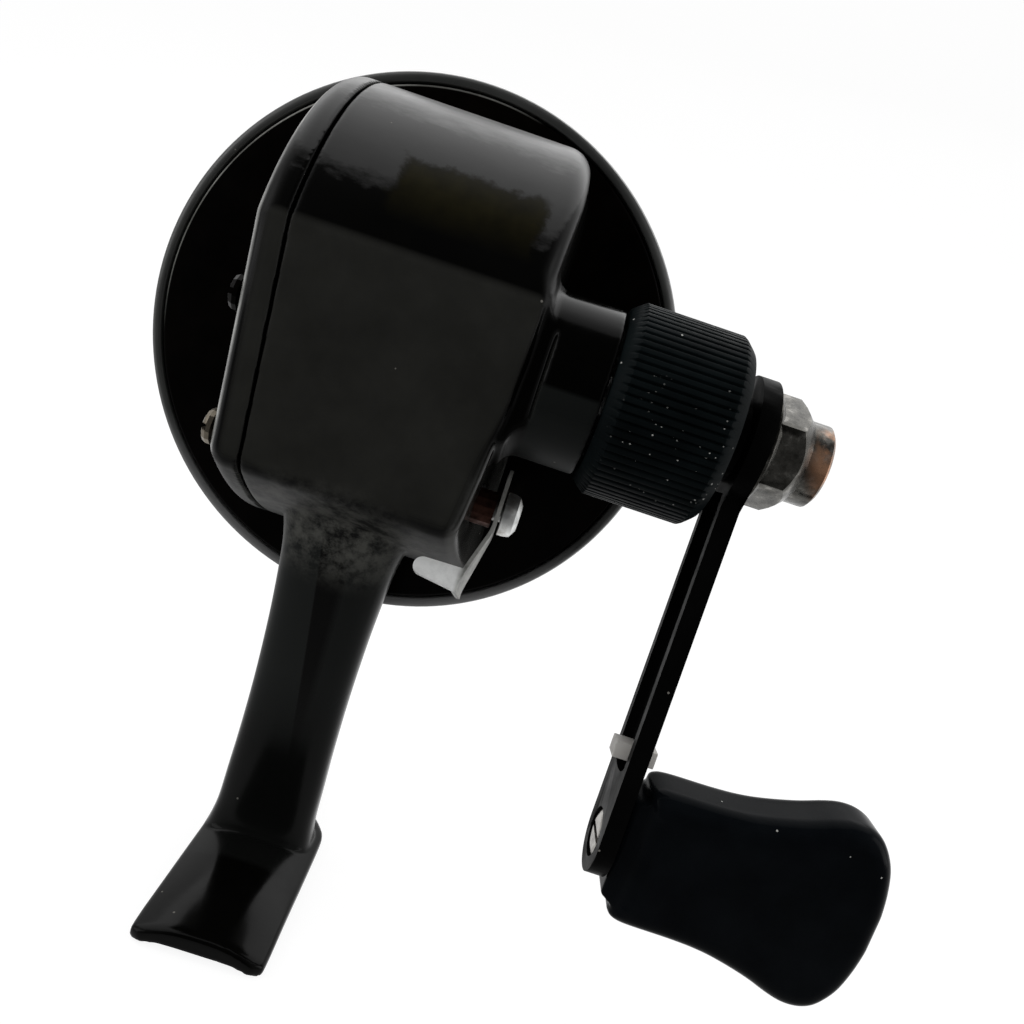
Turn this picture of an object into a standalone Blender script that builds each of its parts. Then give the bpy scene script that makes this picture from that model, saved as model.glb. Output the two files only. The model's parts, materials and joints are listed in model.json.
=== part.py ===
"""A closed-face fishing reel that hangs from its foot, with a knurled drag knob on the crank.

Metres. The origin is the middle of the foot's seat, +X points to the crank, +Y to the reel's nose
and +Z away from the rod. Places are given from the spool axis, at the rear plane of the round
housing, as side (X), ahead (Y) and up (Z), unless a comment says otherwise.
"""
import math

import bmesh
import bpy
from mathutils import Matrix, Vector

mm = 0.001

# Places of the axes
spool_side = -1.0 * mm
spool_ahead = 8.3 * mm
spool_height = 71.4 * mm
crank_behind = 16.5 * mm
crank_above = 3.2 * mm
crank_reach = 51.5 * mm
crank_lean = math.radians(4.9)

# Clearances
gap = 0.3 * mm
overrun = 1.0 * mm
axis_mark = 5.0 * mm
weld = 0.01 * mm
same_place = 0.001 * mm

# Steps of the round pieces
housing_steps = 48
cup_steps = 32
spool_steps = 28
ring_steps = 32
button_steps = 28
knob_steps = 28
shaft_steps = 20
screw_steps = 14
boss_steps = 40
bore_steps = 24
clip_steps = 28
nut_steps = 32
spindle_steps = 20
post_steps = 12
small_steps = 10
eye_steps = 12
end_steps = 6

# Gearbox
box_wall = 2.0 * mm
box_rear = 25.6 * mm
box_top = 32.0 * mm
box_crest = 10.7 * mm
box_keel = 17.0 * mm
box_bottom = 27.4 * mm
box_right = 17.3 * mm
box_left = 13.0 * mm
box_right_lean = 1.4 * mm
box_right_draft = 1.7 * mm
box_left_draft = 1.7 * mm
brow_start = 21.5 * mm
brow_draw = 2.6 * mm
box_edge = 2.0 * mm
panel_edge = 0.9 * mm
keel_fillet = 3.0 * mm
top_bulge_share = 0.149
bottom_bulge_share = 0.055
top_steps = 8
bottom_steps = 4

# Side cover
cover_depth = 4.3 * mm
cover_wall = 1.6 * mm
cover_edge = 2.7 * mm
cover_screw_shares = ((-0.84, -0.84), (-0.84, 0.04), (-0.165, -1.28))

# Screws
screw_radius = 1.2 * mm
screw_head_radius = 2.2 * mm
screw_head_height = 1.3 * mm
screw_reach = 9.0 * mm
plate_screw_head = 0.7 * mm
plate_screw_radius = 1.75 * mm
plate_screw_length = 4.6 * mm
post_radius = 2.6 * mm
post_length = 7.0 * mm
slot_width = 0.7 * mm
slot_depth = 0.8 * mm

# Crank boss on the gearbox
boss_radius = 10.1 * mm
boss_end = 25.0 * mm
boss_flare = 1.6 * mm
boss_flare_length = 1.8 * mm
boss_valley = 0.8 * mm
boss_root_share = 0.45

# Stem and foot
stem_side = 0.5 * mm
stem_width = 13.2 * mm
stem_depth = 7.4 * mm
stem_top_ahead = -13.2 * mm
stem_foot_ahead = -8.3 * mm
foot_behind = 33.6 * mm
foot_front = 17.2 * mm
foot_half = 8.1 * mm
foot_thick = 2.6 * mm
foot_edge_thick = 1.7 * mm
foot_arch = 0.9 * mm
seat_half = 2.6 * mm

# Round housing
plate_radius = 34.8 * mm
housing_rim = 1.7 * mm
housing_radius = plate_radius + housing_rim
plate_thick = 2.0 * mm
plate_edge = 0.3 * mm
plate_recess = 0.2 * mm
housing_wall = 1.6 * mm
housing_depth = 24.0 * mm
nose_share = 0.372
nose_radius = housing_radius * nose_share
ring_wall = 1.5 * mm
sleeve_radius = 7.4 * mm
clip_width = 1.3 * mm
clip_wall = 1.4 * mm

# Winding cup, its shaft and its pins
line_room = 5.9 * mm
nose_room = 8.8 * mm
cup_radius = housing_radius - line_room
cup_wall = 1.2 * mm
cup_mouth = 5.0 * mm
cup_front = housing_depth - nose_room
cup_hub_radius = 6.0 * mm
cup_nose_radius = 7.4 * mm
cup_nose = 3.2 * mm
cup_nose_end = cup_front + cup_nose
cup_collar = 2.0 * mm
cup_collar_wall = 1.7 * mm
shaft_radius = 1.35 * mm
shaft_rear = 24.3 * mm
rear_bearing_floor = 0.7 * mm
rear_bearing_proud = 0.2 * mm
shaft_proud = 2.5 * mm
shaft_front = cup_nose_end + shaft_proud
bush_wall = 1.6 * mm
rear_bush_wall = 0.8 * mm
pin_radius = 1.1 * mm
pin_length = 4.3 * mm
pin_proud = 1.2 * mm
pin_ahead = 8.4 * mm
nut_flats = 7.0 * mm
nut_height = 2.0 * mm

# Spool
spool_bore = sleeve_radius + gap
spool_core = 17.0 * mm
spool_side_room = 3.0 * mm
spool_front_room = 2.2 * mm
spool_rear_flange = cup_radius - cup_wall - spool_side_room
spool_flange_step = 1.0 * mm
spool_front_flange = spool_rear_flange - spool_flange_step
spool_start = 3.4 * mm
spool_end = cup_front - cup_wall - spool_front_room
spool_web = 1.0 * mm
sleeve_end = spool_end + clip_width

# Release button
button_radius = 9.4 * mm
button_wall = 1.2 * mm
button_stand_off = 1.4 * mm
button_height = 7.4 * mm
button_rim = cup_nose_end + button_stand_off
button_face = button_rim + button_height
button_dome = 1.1 * mm
release_spring_radius = 4.9 * mm
release_spring_wire = 0.35 * mm
release_spring_turns = 3
points_per_turn = 9
button_travel = 3.0 * mm

# Gear train
pinion_teeth = 10
gear_teeth = 24
pinion_tip = 2.45 * mm
pinion_root = 1.7 * mm
pinion_tooth = 0.4 * mm
pinion_length = 3.4 * mm
gear_tooth = 0.35 * mm
gear_tooth_top = 1.75 * mm
gear_face = 2.9 * mm
gear_back = 5.6 * mm
gear_outer = 6.8 * mm
gear_tooth_inner = 4.9 * mm
gear_hub_radius = 4.6 * mm
gear_hub_end = 8.4 * mm
crank_shaft_radius = 2.5 * mm
crank_head_radius = 3.2 * mm
crank_head_start = 1.8 * mm
washer_thick = 0.8 * mm
washer_radius = 6.0 * mm
ratchet_teeth = 8
ratchet_tip = 6.4 * mm
ratchet_root = 5.0 * mm
ratchet_thick = 1.5 * mm
crank_bush_wall = 1.3 * mm
crank_bush_flange = 5.2 * mm
crank_bush_flange_thick = 1.2 * mm

# Drag knob
drag_radius = 11.8 * mm
drag_inner_radius = 10.6 * mm
drag_end_radius = 10.7 * mm
drag_start = boss_end + 0.35 * mm
drag_end = 40.2 * mm
drag_chamfer = 1.4 * mm
drag_inner_chamfer = 1.6 * mm
drag_ridges = 76
drag_ridge_depth = 0.34 * mm
drag_recess_radius = 9.0 * mm
drag_recess_depth = 6.0 * mm
spring_turns = 2
spring_radius = 6.2 * mm
spring_wire = 0.9 * mm

# Crank arm
arm_inner = 42.3 * mm
arm_outer = 44.6 * mm
arm_web = 1.1 * mm
arm_half = 4.6 * mm
arm_eye = 8.1 * mm
arm_end_radius = 4.9 * mm
arm_flange = 1.2 * mm
arm_edge = 0.5 * mm
arm_collar_radius = 5.2 * mm
arm_collar_start = drag_end + 0.4 * mm
peg_up = 11.3 * mm
peg_side = 3.0 * mm
peg_height = 2.1 * mm
peg_start = 40.8 * mm
peg_end = 46.2 * mm

# Crank nut
nut_flange_radius = 7.0 * mm
nut_flange_thick = 0.8 * mm
nut_hex_flats = 12.2 * mm
nut_hex_end = 50.0 * mm
nut_collar_radius = 5.1 * mm
nut_end = 52.8 * mm

# Knob on the crank
paddle_start = 46.6 * mm
paddle_end = 78.6 * mm
paddle_thick = 9.0 * mm
paddle_edge = 2.4 * mm
paddle_half = 12.8 * mm
paddle_half_shares = ((0.0, 0.66), (0.06, 0.715), (0.26, 0.725), (0.38, 0.745), (0.48, 0.79),
                      (0.6, 0.87), (0.7, 0.96), (0.77, 1.0), (0.84, 0.985), (0.9, 0.9), (0.955, 0.7),
                      (0.985, 0.45), (1.0, 0.2))
spindle_radius = 1.7 * mm
spindle_head_radius = 2.8 * mm
spindle_head_height = 0.9 * mm
spindle_recess = 1.3 * mm
spindle_reach = 24.0 * mm

# Anti-reverse lever
lever_ahead = -16.0 * mm
lever_up = -14.3 * mm
lever_plane = 18.45 * mm
lever_joggle = 2.1 * mm
lever_thick = 0.5 * mm
lever_width = 3.0 * mm
lever_eye = 2.6 * mm
lever_tail = 3.0 * mm
lever_drop = 8.8 * mm
lever_back = 6.0 * mm
lever_tab = 5.2 * mm
sheet_lap = 0.05 * mm
lever_pivot_radius = 1.2 * mm
lever_head_radius = 2.75 * mm
lever_head_height = 2.1 * mm
lever_bush_radius = 2.3 * mm
lever_swing = math.radians(8)
pawl_width = 0.9 * mm
pawl_nose = 0.15 * mm
pawl_beak = 5.0 * mm
pawl_hub = 2.7 * mm
pawl_tip = 5.7 * mm

# Materials: colour, roughness and metallic value
finishes = {
    "black_paint": ((0.012, 0.012, 0.013), 0.16, 0.0),
    "plate_paint": ((0.006, 0.006, 0.007), 0.1, 0.0),
    "housing_paint": ((0.03, 0.032, 0.032), 0.25, 0.0),
    "black_plastic": ((0.016, 0.016, 0.018), 0.38, 0.0),
    "gloss_plastic": ((0.01, 0.01, 0.011), 0.2, 0.0),
    "nickel": ((0.68, 0.67, 0.65), 0.22, 1.0),
    "zinc": ((0.72, 0.73, 0.74), 0.3, 1.0),
    "steel": ((0.55, 0.55, 0.56), 0.3, 1.0),
    "brass": ((0.62, 0.45, 0.22), 0.35, 1.0),
    "bronze": ((0.45, 0.3, 0.18), 0.45, 1.0),
    "felt": ((0.2, 0.17, 0.14), 0.95, 0.0),
    "nylon": ((0.75, 0.74, 0.7), 0.45, 0.0),
    "chrome": ((0.8, 0.8, 0.81), 0.08, 1.0),
}

along_side = Matrix.Rotation(math.radians(90), 4, "Y")
along_ahead = Matrix.Rotation(math.radians(-90), 4, "X")

for leftover in list(bpy.data.objects):
    bpy.data.objects.remove(leftover)
reel = bpy.data.collections.new("spincast_reel")
tools = bpy.data.collections.new("tools")
bpy.context.scene.collection.children.link(reel)
bpy.context.scene.collection.children.link(tools)


def place(side, ahead, up):
    """Turn a place given from the spool axis into a point from the foot's seat."""
    return Vector((spool_side + side, spool_ahead + ahead, spool_height + up))


def finish_material(finish):
    """Make the named Principled material, or give it back if it exists."""
    if finish in bpy.data.materials:
        return bpy.data.materials[finish]
    colour, roughness, metallic = finishes[finish]
    material = bpy.data.materials.new(finish)
    material.use_nodes = True
    shader = material.node_tree.nodes["Principled BSDF"]
    shader.inputs["Base Color"].default_value = (*colour, 1)
    shader.inputs["Roughness"].default_value = roughness
    shader.inputs["Metallic"].default_value = metallic
    material.diffuse_color = (*colour, 1)
    return material


def add_object(name, data, finish=None):
    """Put data into the scene as a piece of the reel, or as a tool when it has no finish."""
    piece = bpy.data.objects.new(name, data)
    if finish:
        reel.objects.link(piece)
        data.materials.append(finish_material(finish))
    else:
        tools.objects.link(piece)
        piece.hide_render = True
        piece.display_type = "WIRE"
    return piece


def from_bmesh(name, form, finish=None):
    """Close a bmesh into an object whose faces point out."""
    bmesh.ops.recalc_face_normals(form, faces=form.faces)
    mesh = bpy.data.meshes.new(name)
    form.to_mesh(mesh)
    form.free()
    mesh.shade_smooth()
    mesh.set_sharp_from_angle(angle=math.radians(35))
    return add_object(name, mesh, finish)


def loft_form(rings, fan=False):
    """Skin a list of rings, which all have the same number of points, and cap both ends.

    A fan cap is made of triangles round the ring's middle, for a ring that isn't flat.
    """
    form = bmesh.new()
    loops = [[form.verts.new(point) for point in ring] for ring in rings]
    count = len(loops[0])
    for lower, upper in zip(loops, loops[1:]):
        for index in range(count):
            after = (index + 1) % count
            form.faces.new((lower[index], lower[after], upper[after], upper[index]))
    for loop in (loops[0][::-1], loops[-1]):
        if not fan:
            form.faces.new(loop)
            continue
        middle = form.verts.new(sum((vert.co for vert in loop), Vector()) / count)
        for index in range(count):
            form.faces.new((loop[index], loop[(index + 1) % count], middle))
    return form


def prism_form(outline, sweep):
    """A flat outline, pushed out along a vector."""
    form = bmesh.new()
    face = form.faces.new([form.verts.new(point) for point in outline])
    pushed = bmesh.ops.extrude_face_region(form, geom=[face])
    ends = [item for item in pushed["geom"] if isinstance(item, bmesh.types.BMVert)]
    bmesh.ops.translate(form, vec=sweep, verts=ends)
    return form


def turned(name, outline, axis, centre, steps, finish=None):
    """Revolve an outline of (radius, along) points that runs from the far end down the outer side.

    An outline that starts and ends on the axis stays open there, and any other is closed.
    """
    mesh = bpy.data.meshes.new(name)
    points = [(radius, 0, along) for radius, along in outline]
    edges = [(index, index + 1) for index in range(len(points) - 1)]
    if outline[0][0] > 0:
        edges.append((len(points) - 1, 0))
    mesh.from_pydata(points, edges, [])
    piece = add_object(name, mesh, finish)
    piece.matrix_world = Matrix.Translation(centre) @ axis
    screw = piece.modifiers.new("turn", "SCREW")
    screw.axis = "Z"
    screw.steps = steps
    screw.render_steps = steps
    screw.use_merge_vertices = True
    screw.merge_threshold = weld
    screw.use_smooth_shade = True
    return piece


def rod_form(radius, start, end, axis, centre, steps):
    """A plain cylinder from start to end along its axis."""
    form = bmesh.new()
    middle = Matrix.Translation((0, 0, (start + end) / 2))
    bmesh.ops.create_cone(form, cap_ends=True, segments=steps, radius1=radius, radius2=radius,
                          depth=end - start, matrix=Matrix.Translation(centre) @ axis @ middle)
    return form


def rod(name, radius, start, end, axis, centre, steps, finish=None):
    return from_bmesh(name, rod_form(radius, start, end, axis, centre, steps), finish)


def merge_forms(name, forms, finish=None):
    """Keep several closed forms in one object, as a group of separate solids."""
    group = bmesh.new()
    for form in forms:
        mesh = bpy.data.meshes.new("copy")
        form.to_mesh(mesh)
        form.free()
        group.from_mesh(mesh)
        bpy.data.meshes.remove(mesh)
    return from_bmesh(name, group, finish)


def tube(name, outer, inner, start, end, axis, centre, steps, finish=None):
    """A plain sleeve from start to end along its axis."""
    outline = [(outer, end), (outer, start), (inner, start), (inner, end)]
    return turned(name, outline, axis, centre, steps, finish)


def block(name, low, high, finish=None):
    """A box between two corners."""
    form = bmesh.new()
    size = high - low
    shape = Matrix.Translation((low + high) / 2) @ Matrix.Diagonal((*size, 1))
    bmesh.ops.create_cube(form, size=1, matrix=shape)
    return from_bmesh(name, form, finish)


def combine(piece, tool, operation):
    """Join a tool to a piece, or cut it from the piece, with an exact Boolean."""
    boolean = piece.modifiers.new(tool.name, "BOOLEAN")
    boolean.object = tool
    boolean.operation = operation
    boolean.solver = "EXACT"


def cut(piece, *cutters):
    for cutter in cutters:
        combine(piece, cutter, "DIFFERENCE")


def join(piece, *additions):
    for addition in additions:
        combine(piece, addition, "UNION")


def arc_between(start, end, bulge_share, steps):
    """Points of an arc from start to end that bulges to its right by a share of the chord."""
    start, end = Vector(start), Vector(end)
    chord = end - start
    bulge = bulge_share * chord.length
    radius = (chord.length_squared / 4 + bulge * bulge) / (2 * bulge)
    right = Vector((chord.y, -chord.x)).normalized()
    centre = (start + end) / 2 - right * (radius - bulge)
    half_angle = math.asin(chord.length / (2 * radius))
    points = []
    for step in range(steps + 1):
        angle = half_angle * (2 * step / steps - 1)
        points.append(centre + radius * (right * math.cos(angle) + chord.normalized() * math.sin(angle)))
    return points


def fillet(before, corner, after, radius, steps):
    """Round the corner of an outline with an arc of the given radius."""
    arrive = (Vector(before) - Vector(corner)).normalized()
    leave = (Vector(after) - Vector(corner)).normalized()
    half = arrive.angle(leave) / 2
    centre = Vector(corner) + (arrive + leave).normalized() * radius / math.sin(half)
    first = Vector(corner) + arrive * radius / math.tan(half) - centre
    last = Vector(corner) + leave * radius / math.tan(half) - centre
    turn = first.angle_signed(last)
    return [centre + Matrix.Rotation(-turn * step / steps, 2) @ first for step in range(steps + 1)]


def inset(outline, distance, front_distance, low_distance=None):
    """Move every side of a closed outline inwards, the front one by a distance of its own.

    The sides that aren't on the roof may have their own distance too. The outline holds
    (ahead, up) points and runs clockwise seen from +X.
    """
    if low_distance is None:
        low_distance = distance
    count = len(outline)
    moved = []
    for index in range(count):
        before, here, after = outline[index - 1], outline[index], outline[(index + 1) % count]
        inward = []
        for start, end in ((before, here), (here, after)):
            on_front = max(abs(start.x - box_front()), abs(end.x - box_front())) < same_place
            side = (end - start).normalized()
            on_roof = min(start.y, end.y) > box_crest - overrun
            own_distance = front_distance if on_front else distance if on_roof else low_distance
            inward.append((Vector((side.y, -side.x)), own_distance))
        (first, first_distance), (second, second_distance) = inward
        spread = first.x * second.y - first.y * second.x
        if abs(spread) < 0.01:
            moved.append(here + first * first_distance)
            continue
        shift_ahead = (first_distance * second.y - second_distance * first.y) / spread
        shift_up = (first.x * second_distance - second.x * first_distance) / spread
        moved.append(here + Vector((shift_ahead, shift_up)))
    return moved


def box_front():
    """The gearbox ends just behind the housing's rear plate."""
    return plate_recess - gap


def box_outline():
    """The gearbox from the side as (ahead, up) points: up the rear, over the top, back below."""
    keel = Vector((-box_rear, -box_keel))
    crest = Vector((-box_rear, box_crest))
    brow = Vector((box_front(), box_top))
    chin = Vector((box_front(), -box_bottom))
    floor = arc_between(keel, chin, bottom_bulge_share, bottom_steps)
    floor.reverse()
    roof = arc_between(brow, crest, top_bulge_share, top_steps)
    roof.reverse()
    corner = fillet(floor[-2], keel, crest, keel_fillet, 3)
    front_heights = ((brow_start + box_top) / 2, brow_start, box_crest, -box_keel)
    front = [Vector((box_front(), up)) for up in front_heights]
    return corner + roof + front + floor[:-1]


def low_share(up):
    """How far down the rear face a height lies, from 0 at its crest to 1 at its keel."""
    return min(max((box_crest - up) / (box_crest + box_keel), 0), 1)


def seam_side(up):
    """Side of the seam between the gearbox and its cover, at a height."""
    return -box_left + box_left_draft * low_share(up)


def wall_side(ahead, up):
    """Side of the gearbox's right wall, which leans in to its rear, its lower corner and its brow."""
    rear_share = min(max(-ahead / box_rear, 0), 1)
    brow_share = min(max((up - brow_start) / (box_top - brow_start), 0), 1)
    draft = (box_right_lean + box_right_draft * low_share(up) ** 2) * rear_share
    return box_right - draft - brow_draw * brow_share ** 2


def box_ring(outline, side_of):
    return [place(side_of(ahead, up), ahead, up) for ahead, up in outline]


def rounded_rings(outline, side_of, radius, low_radius, steps, outward):
    """Rings that round a wall's rim, except along the front; outward is 1 to the right, -1 left.

    The roof's rim has the first radius and the other rims the second.
    """
    rings = []
    for step in range(steps + 1):
        angle = math.radians(90) * step / steps
        drawn_in = inset(outline, radius * (1 - math.cos(angle)), 0, low_radius * (1 - math.cos(angle)))
        ring = []
        for corner, (ahead, up) in zip(outline, drawn_in):
            own_radius = radius if corner.y > box_crest + overrun else low_radius
            if abs(corner.y - box_crest) <= overrun:
                own_radius = (radius + low_radius) / 2
            sunk = outward * own_radius * (1 - math.sin(angle))
            ring.append(place(side_of(ahead, up) - sunk, ahead, up))
        rings.append(ring)
    return rings


def round_rims(form, rings, radius, segments):
    """Round the edges of a form that run along the given rings."""
    edges = []
    for ring in rings:
        wanted = {tuple(round(value / same_place) for value in point) for point in ring}
        for edge in form.edges:
            ends = [tuple(round(value / same_place) for value in vert.co) for vert in edge.verts]
            if ends[0] in wanted and ends[1] in wanted:
                edges.append(edge)
    bmesh.ops.bevel(form, geom=edges, offset=radius, segments=segments, profile=0.5,
                    affect="EDGES", clamp_overlap=True)


def crank_centre():
    return place(0, -crank_behind, crank_above)


def stem_tool():
    """The stem, a lofted bar that flares into the gearbox above and into the foot below."""
    top_up = -box_keel
    bottom_up = -spool_height + foot_edge_thick * 0.2
    width_shares = ((0.0, 1.64, 2.1), (0.07, 1.37, 1.7), (0.12, 1.24, 1.42), (0.18, 1.14, 1.28),
                    (0.26, 1.08, 1.18), (0.39, 1.02, 1.08), (0.55, 0.99, 1.0), (0.7, 1.0, 0.95),
                    (0.82, 1.03, 0.93), (0.91, 1.05, 1.0), (0.96, 1.1, 1.2), (1.0, 1.17, 1.5))
    rings = []
    for down_share, width_share, depth_share in width_shares:
        half_width = stem_width / 2 * width_share
        half_depth = stem_depth / 2 * depth_share
        ahead = stem_top_ahead + (stem_foot_ahead - stem_top_ahead) * down_share ** 0.8
        up = top_up + (bottom_up - top_up) * down_share
        ring = []
        for step in range(16):
            angle = math.radians(22.5 * step)
            across = math.copysign(abs(math.cos(angle)) ** 0.42, math.cos(angle))
            through = math.copysign(abs(math.sin(angle)) ** 0.62, math.sin(angle))
            ring.append(place(stem_side + half_width * across, ahead + half_depth * through, up))
        rings.append(ring)
    return from_bmesh("stem", loft_form(rings))


def foot_tool():
    """The foot: a wide tongue behind the stem, a narrow one ahead of it, arched across."""
    length_shares = ((0.0, 0.84, 0.75), (0.012, 0.95, 0.8), (0.035, 1.0, 0.85), (0.2, 1.0, 1.0),
                     (0.5, 1.0, 1.0), (0.565, 0.97, 1.0), (0.6, 0.85, 1.0), (0.635, 0.68, 1.0),
                     (0.7, 0.58, 1.0), (0.85, 0.5, 0.85), (0.96, 0.42, 0.7), (0.99, 0.34, 0.6),
                     (1.0, 0.22, 0.55))
    rings = []
    for length_share, half_share, thick_share in length_shares:
        ahead = -foot_behind + (foot_front + foot_behind) * length_share
        half = max(foot_half * half_share, seat_half * half_share)
        flat = min(seat_half, half * 0.6)
        ring = []
        for across in (-half, -(half + flat) / 2, -flat, flat, (half + flat) / 2, half):
            sag = foot_arch * max((abs(across) - flat) / (foot_half - seat_half), 0) ** 1.6
            ring.append((across, -sag))
        for across in (half, half * 0.6, half * 0.25, -half * 0.25, -half * 0.6, -half):
            reach_share = abs(across) / half
            thick = foot_thick + (foot_edge_thick - foot_thick) * reach_share ** 2
            sag = foot_arch * max((abs(across) - flat) / (foot_half - seat_half), 0) ** 1.6
            ring.append((across, thick * thick_share - sag))
        rings.append([Vector((across, spool_ahead + ahead, rise)) for across, rise in ring])
    return from_bmesh("foot", loft_form(rings))


def boss_tool():
    """The long boss that carries the crank, flared where it leaves the gearbox."""
    shoulder = wall_side(-crank_behind, crank_above)
    root = shoulder - box_wall * boss_root_share
    outline = [(0, boss_end), (boss_radius, boss_end)]
    for step in range(4):
        angle = math.radians(30 * step)
        radius = boss_radius + boss_flare * (1 - math.cos(angle))
        outline.append((radius, shoulder + boss_flare_length * (1 - math.sin(angle))))
    outline.append((boss_radius + boss_flare, root))
    outline.append((0, root))
    boss = turned("boss", outline, along_side, crank_centre(), boss_steps)
    behind = -box_rear - boss_flare * 2
    cut(boss, block("boss_trim", place(root - overrun, behind, -box_keel),
                    place(shoulder + boss_flare_length, -box_rear + boss_valley, box_top)))
    return boss


def cover_screw_places():
    """Places of the side cover's screws as (ahead, up)."""
    places = []
    for ahead_share, up_share in cover_screw_shares:
        up_limit = box_keel if up_share < 0 else box_top
        places.append((box_rear * ahead_share, up_limit * up_share))
    return places


def make_body_frame():
    """Gearbox, boss, stem and foot, cast in one piece and hollow for the gears."""
    outline = box_outline()
    seam = box_ring(outline, lambda ahead, up: seam_side(up))
    rings = [seam] + rounded_rings(outline, wall_side, box_edge, panel_edge, 2, 1)
    body = from_bmesh("body_frame", loft_form(rings, fan=True), "black_paint")

    hollow = inset(outline, box_wall, box_wall)
    open_side = box_ring(hollow, lambda ahead, up: seam_side(up) - overrun)
    shut_side = box_ring(hollow, lambda ahead, up: wall_side(ahead, up) - box_wall)
    cavity = from_bmesh("gearbox_cavity", loft_form([open_side, shut_side], fan=True))
    join(body, stem_tool(), foot_tool(), boss_tool())
    cut(body, cavity)

    spool_centre = place(0, 0, 0)
    posts = []
    bores = [rod_form(shaft_radius + 2 * gap + rear_bush_wall, -box_rear + rear_bearing_floor,
                      -box_rear + box_wall + overrun, along_ahead, spool_centre, shaft_steps),
             rod_form(shaft_radius + 2 * gap + bush_wall, -box_wall - overrun * 2, box_front() + overrun,
                      along_ahead, spool_centre, shaft_steps),
             rod_form(crank_shaft_radius + 2 * gap + crank_bush_wall, box_left / 2, boss_end + overrun,
                      along_side, crank_centre(), bore_steps),
             rod_form(lever_bush_radius + gap, box_left / 2, box_right + overrun, along_side,
                      place(0, lever_ahead, lever_up), screw_steps)]
    for ahead, up in cover_screw_places():
        start = seam_side(up)
        centre = place(0, ahead, up)
        posts.append(rod_form(post_radius, start, start + post_length, along_side, centre, post_steps))
        bores.append(rod_form(screw_radius + gap, start - overrun, start + screw_reach - cover_depth,
                              along_side, centre, small_steps))
    for side, up in plate_screw_places():
        bores.append(rod_form(screw_radius + gap, -box_wall - overrun * 2, box_front() + overrun,
                              along_ahead, place(side, 0, up), small_steps))
    join(body, merge_forms("body_posts", posts))
    cut(body, merge_forms("body_bores", bores))


def make_side_cover():
    """The gearbox's left cover: a shallow shell with rounded edges."""
    outline = box_outline()
    rim = box_ring(outline, lambda ahead, up: seam_side(up) - gap)
    rings = [rim] + rounded_rings(outline, lambda ahead, up: seam_side(up) - cover_depth, cover_edge,
                                 cover_edge, 3, -1)
    cover = from_bmesh("side_cover", loft_form(rings, fan=True), "black_paint")
    hollow = inset(outline, cover_edge * 0.8, cover_wall)
    mouth = box_ring(hollow, lambda ahead, up: seam_side(up) + overrun)
    floor = box_ring(hollow, lambda ahead, up: seam_side(up) - cover_depth + cover_wall)
    cut(cover, from_bmesh("cover_hollow", loft_form([mouth, floor], fan=True)))
    pillars = []
    bores = []
    for ahead, up in cover_screw_places():
        centre = place(0, ahead, up)
        start = seam_side(up)
        pillars.append(rod_form(post_radius, start - cover_depth + cover_wall / 2, start - gap,
                                along_side, centre, post_steps))
        bores.append(rod_form(screw_radius + gap, start - cover_depth - overrun, start + overrun,
                              along_side, centre, small_steps))
    join(cover, merge_forms("cover_pillars", pillars))
    cut(cover, merge_forms("cover_bores", bores))


def make_side_cover_screws():
    """Three pan-head screws through the cover into the gearbox's posts."""
    head_shares = ((1.0, 0.4), (0.88, 0.75), (0.55, 1.0), (0.0, 1.0))
    outline = [(0, screw_reach), (screw_radius, screw_reach), (screw_radius, 0), (screw_head_radius, 0)]
    outline += [(screw_head_radius * radius_share, -screw_head_height * height_share)
                for radius_share, height_share in head_shares]
    for index, (ahead, up) in enumerate(cover_screw_places(), 1):
        centre = place(seam_side(up) - cover_depth - gap, ahead, up)
        screw = turned(f"side_cover_screw_{index}", outline, along_side, centre, screw_steps, "nickel")
        reach = screw_head_radius + overrun
        low = centre + Vector((-screw_head_height - overrun, -reach, -slot_width / 2))
        high = centre + Vector((slot_depth - screw_head_height, reach, slot_width / 2))
        cut(screw, block(f"cover_screw_slot_{index}", low, high))


def plate_screw_places():
    """Places of the three screws that hold the rear plate to the gearbox, as (side, up)."""
    spread_shares = ((-0.72, 0.78), (0.76, 0.78), (0.72, -0.78))
    return [(box_left * side_share, (box_top if up_share > 0 else box_bottom) * up_share)
            for side_share, up_share in spread_shares]


def make_plate_screws():
    """Three flat-head screws from inside the housing through the plate into the gearbox."""
    seat = plate_recess + plate_thick + gap
    top = seat + plate_screw_head
    tip = seat - plate_screw_length
    outline = [(0, top), (plate_screw_radius, top), (plate_screw_radius, seat), (screw_radius, seat),
               (screw_radius, tip), (0, tip)]
    for index, (side, up) in enumerate(plate_screw_places(), 1):
        turned(f"plate_screw_{index}", outline, along_ahead, place(side, 0, up), screw_steps, "steel")


def make_rear_plate():
    """The round deck between gearbox and spool, with the sleeve that carries the spool."""
    rear = plate_recess
    front = plate_recess + plate_thick
    bore = shaft_radius + 2 * gap + bush_wall
    worn = plate_edge * 0.3
    outline = [(sleeve_radius, sleeve_end), (sleeve_radius, front), (plate_radius, front),
               (plate_radius, rear + plate_edge), (plate_radius - worn, rear + worn),
               (plate_radius - plate_edge, rear), (bore, rear), (bore, sleeve_end)]
    plate = turned("rear_plate", outline, along_ahead, place(0, 0, 0), housing_steps, "plate_paint")
    for index, (side, up) in enumerate(plate_screw_places()):
        cut(plate, rod(f"plate_hole_{index}", screw_radius + gap, rear - overrun, front + overrun,
                       along_ahead, place(side, 0, up), small_steps))


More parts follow.
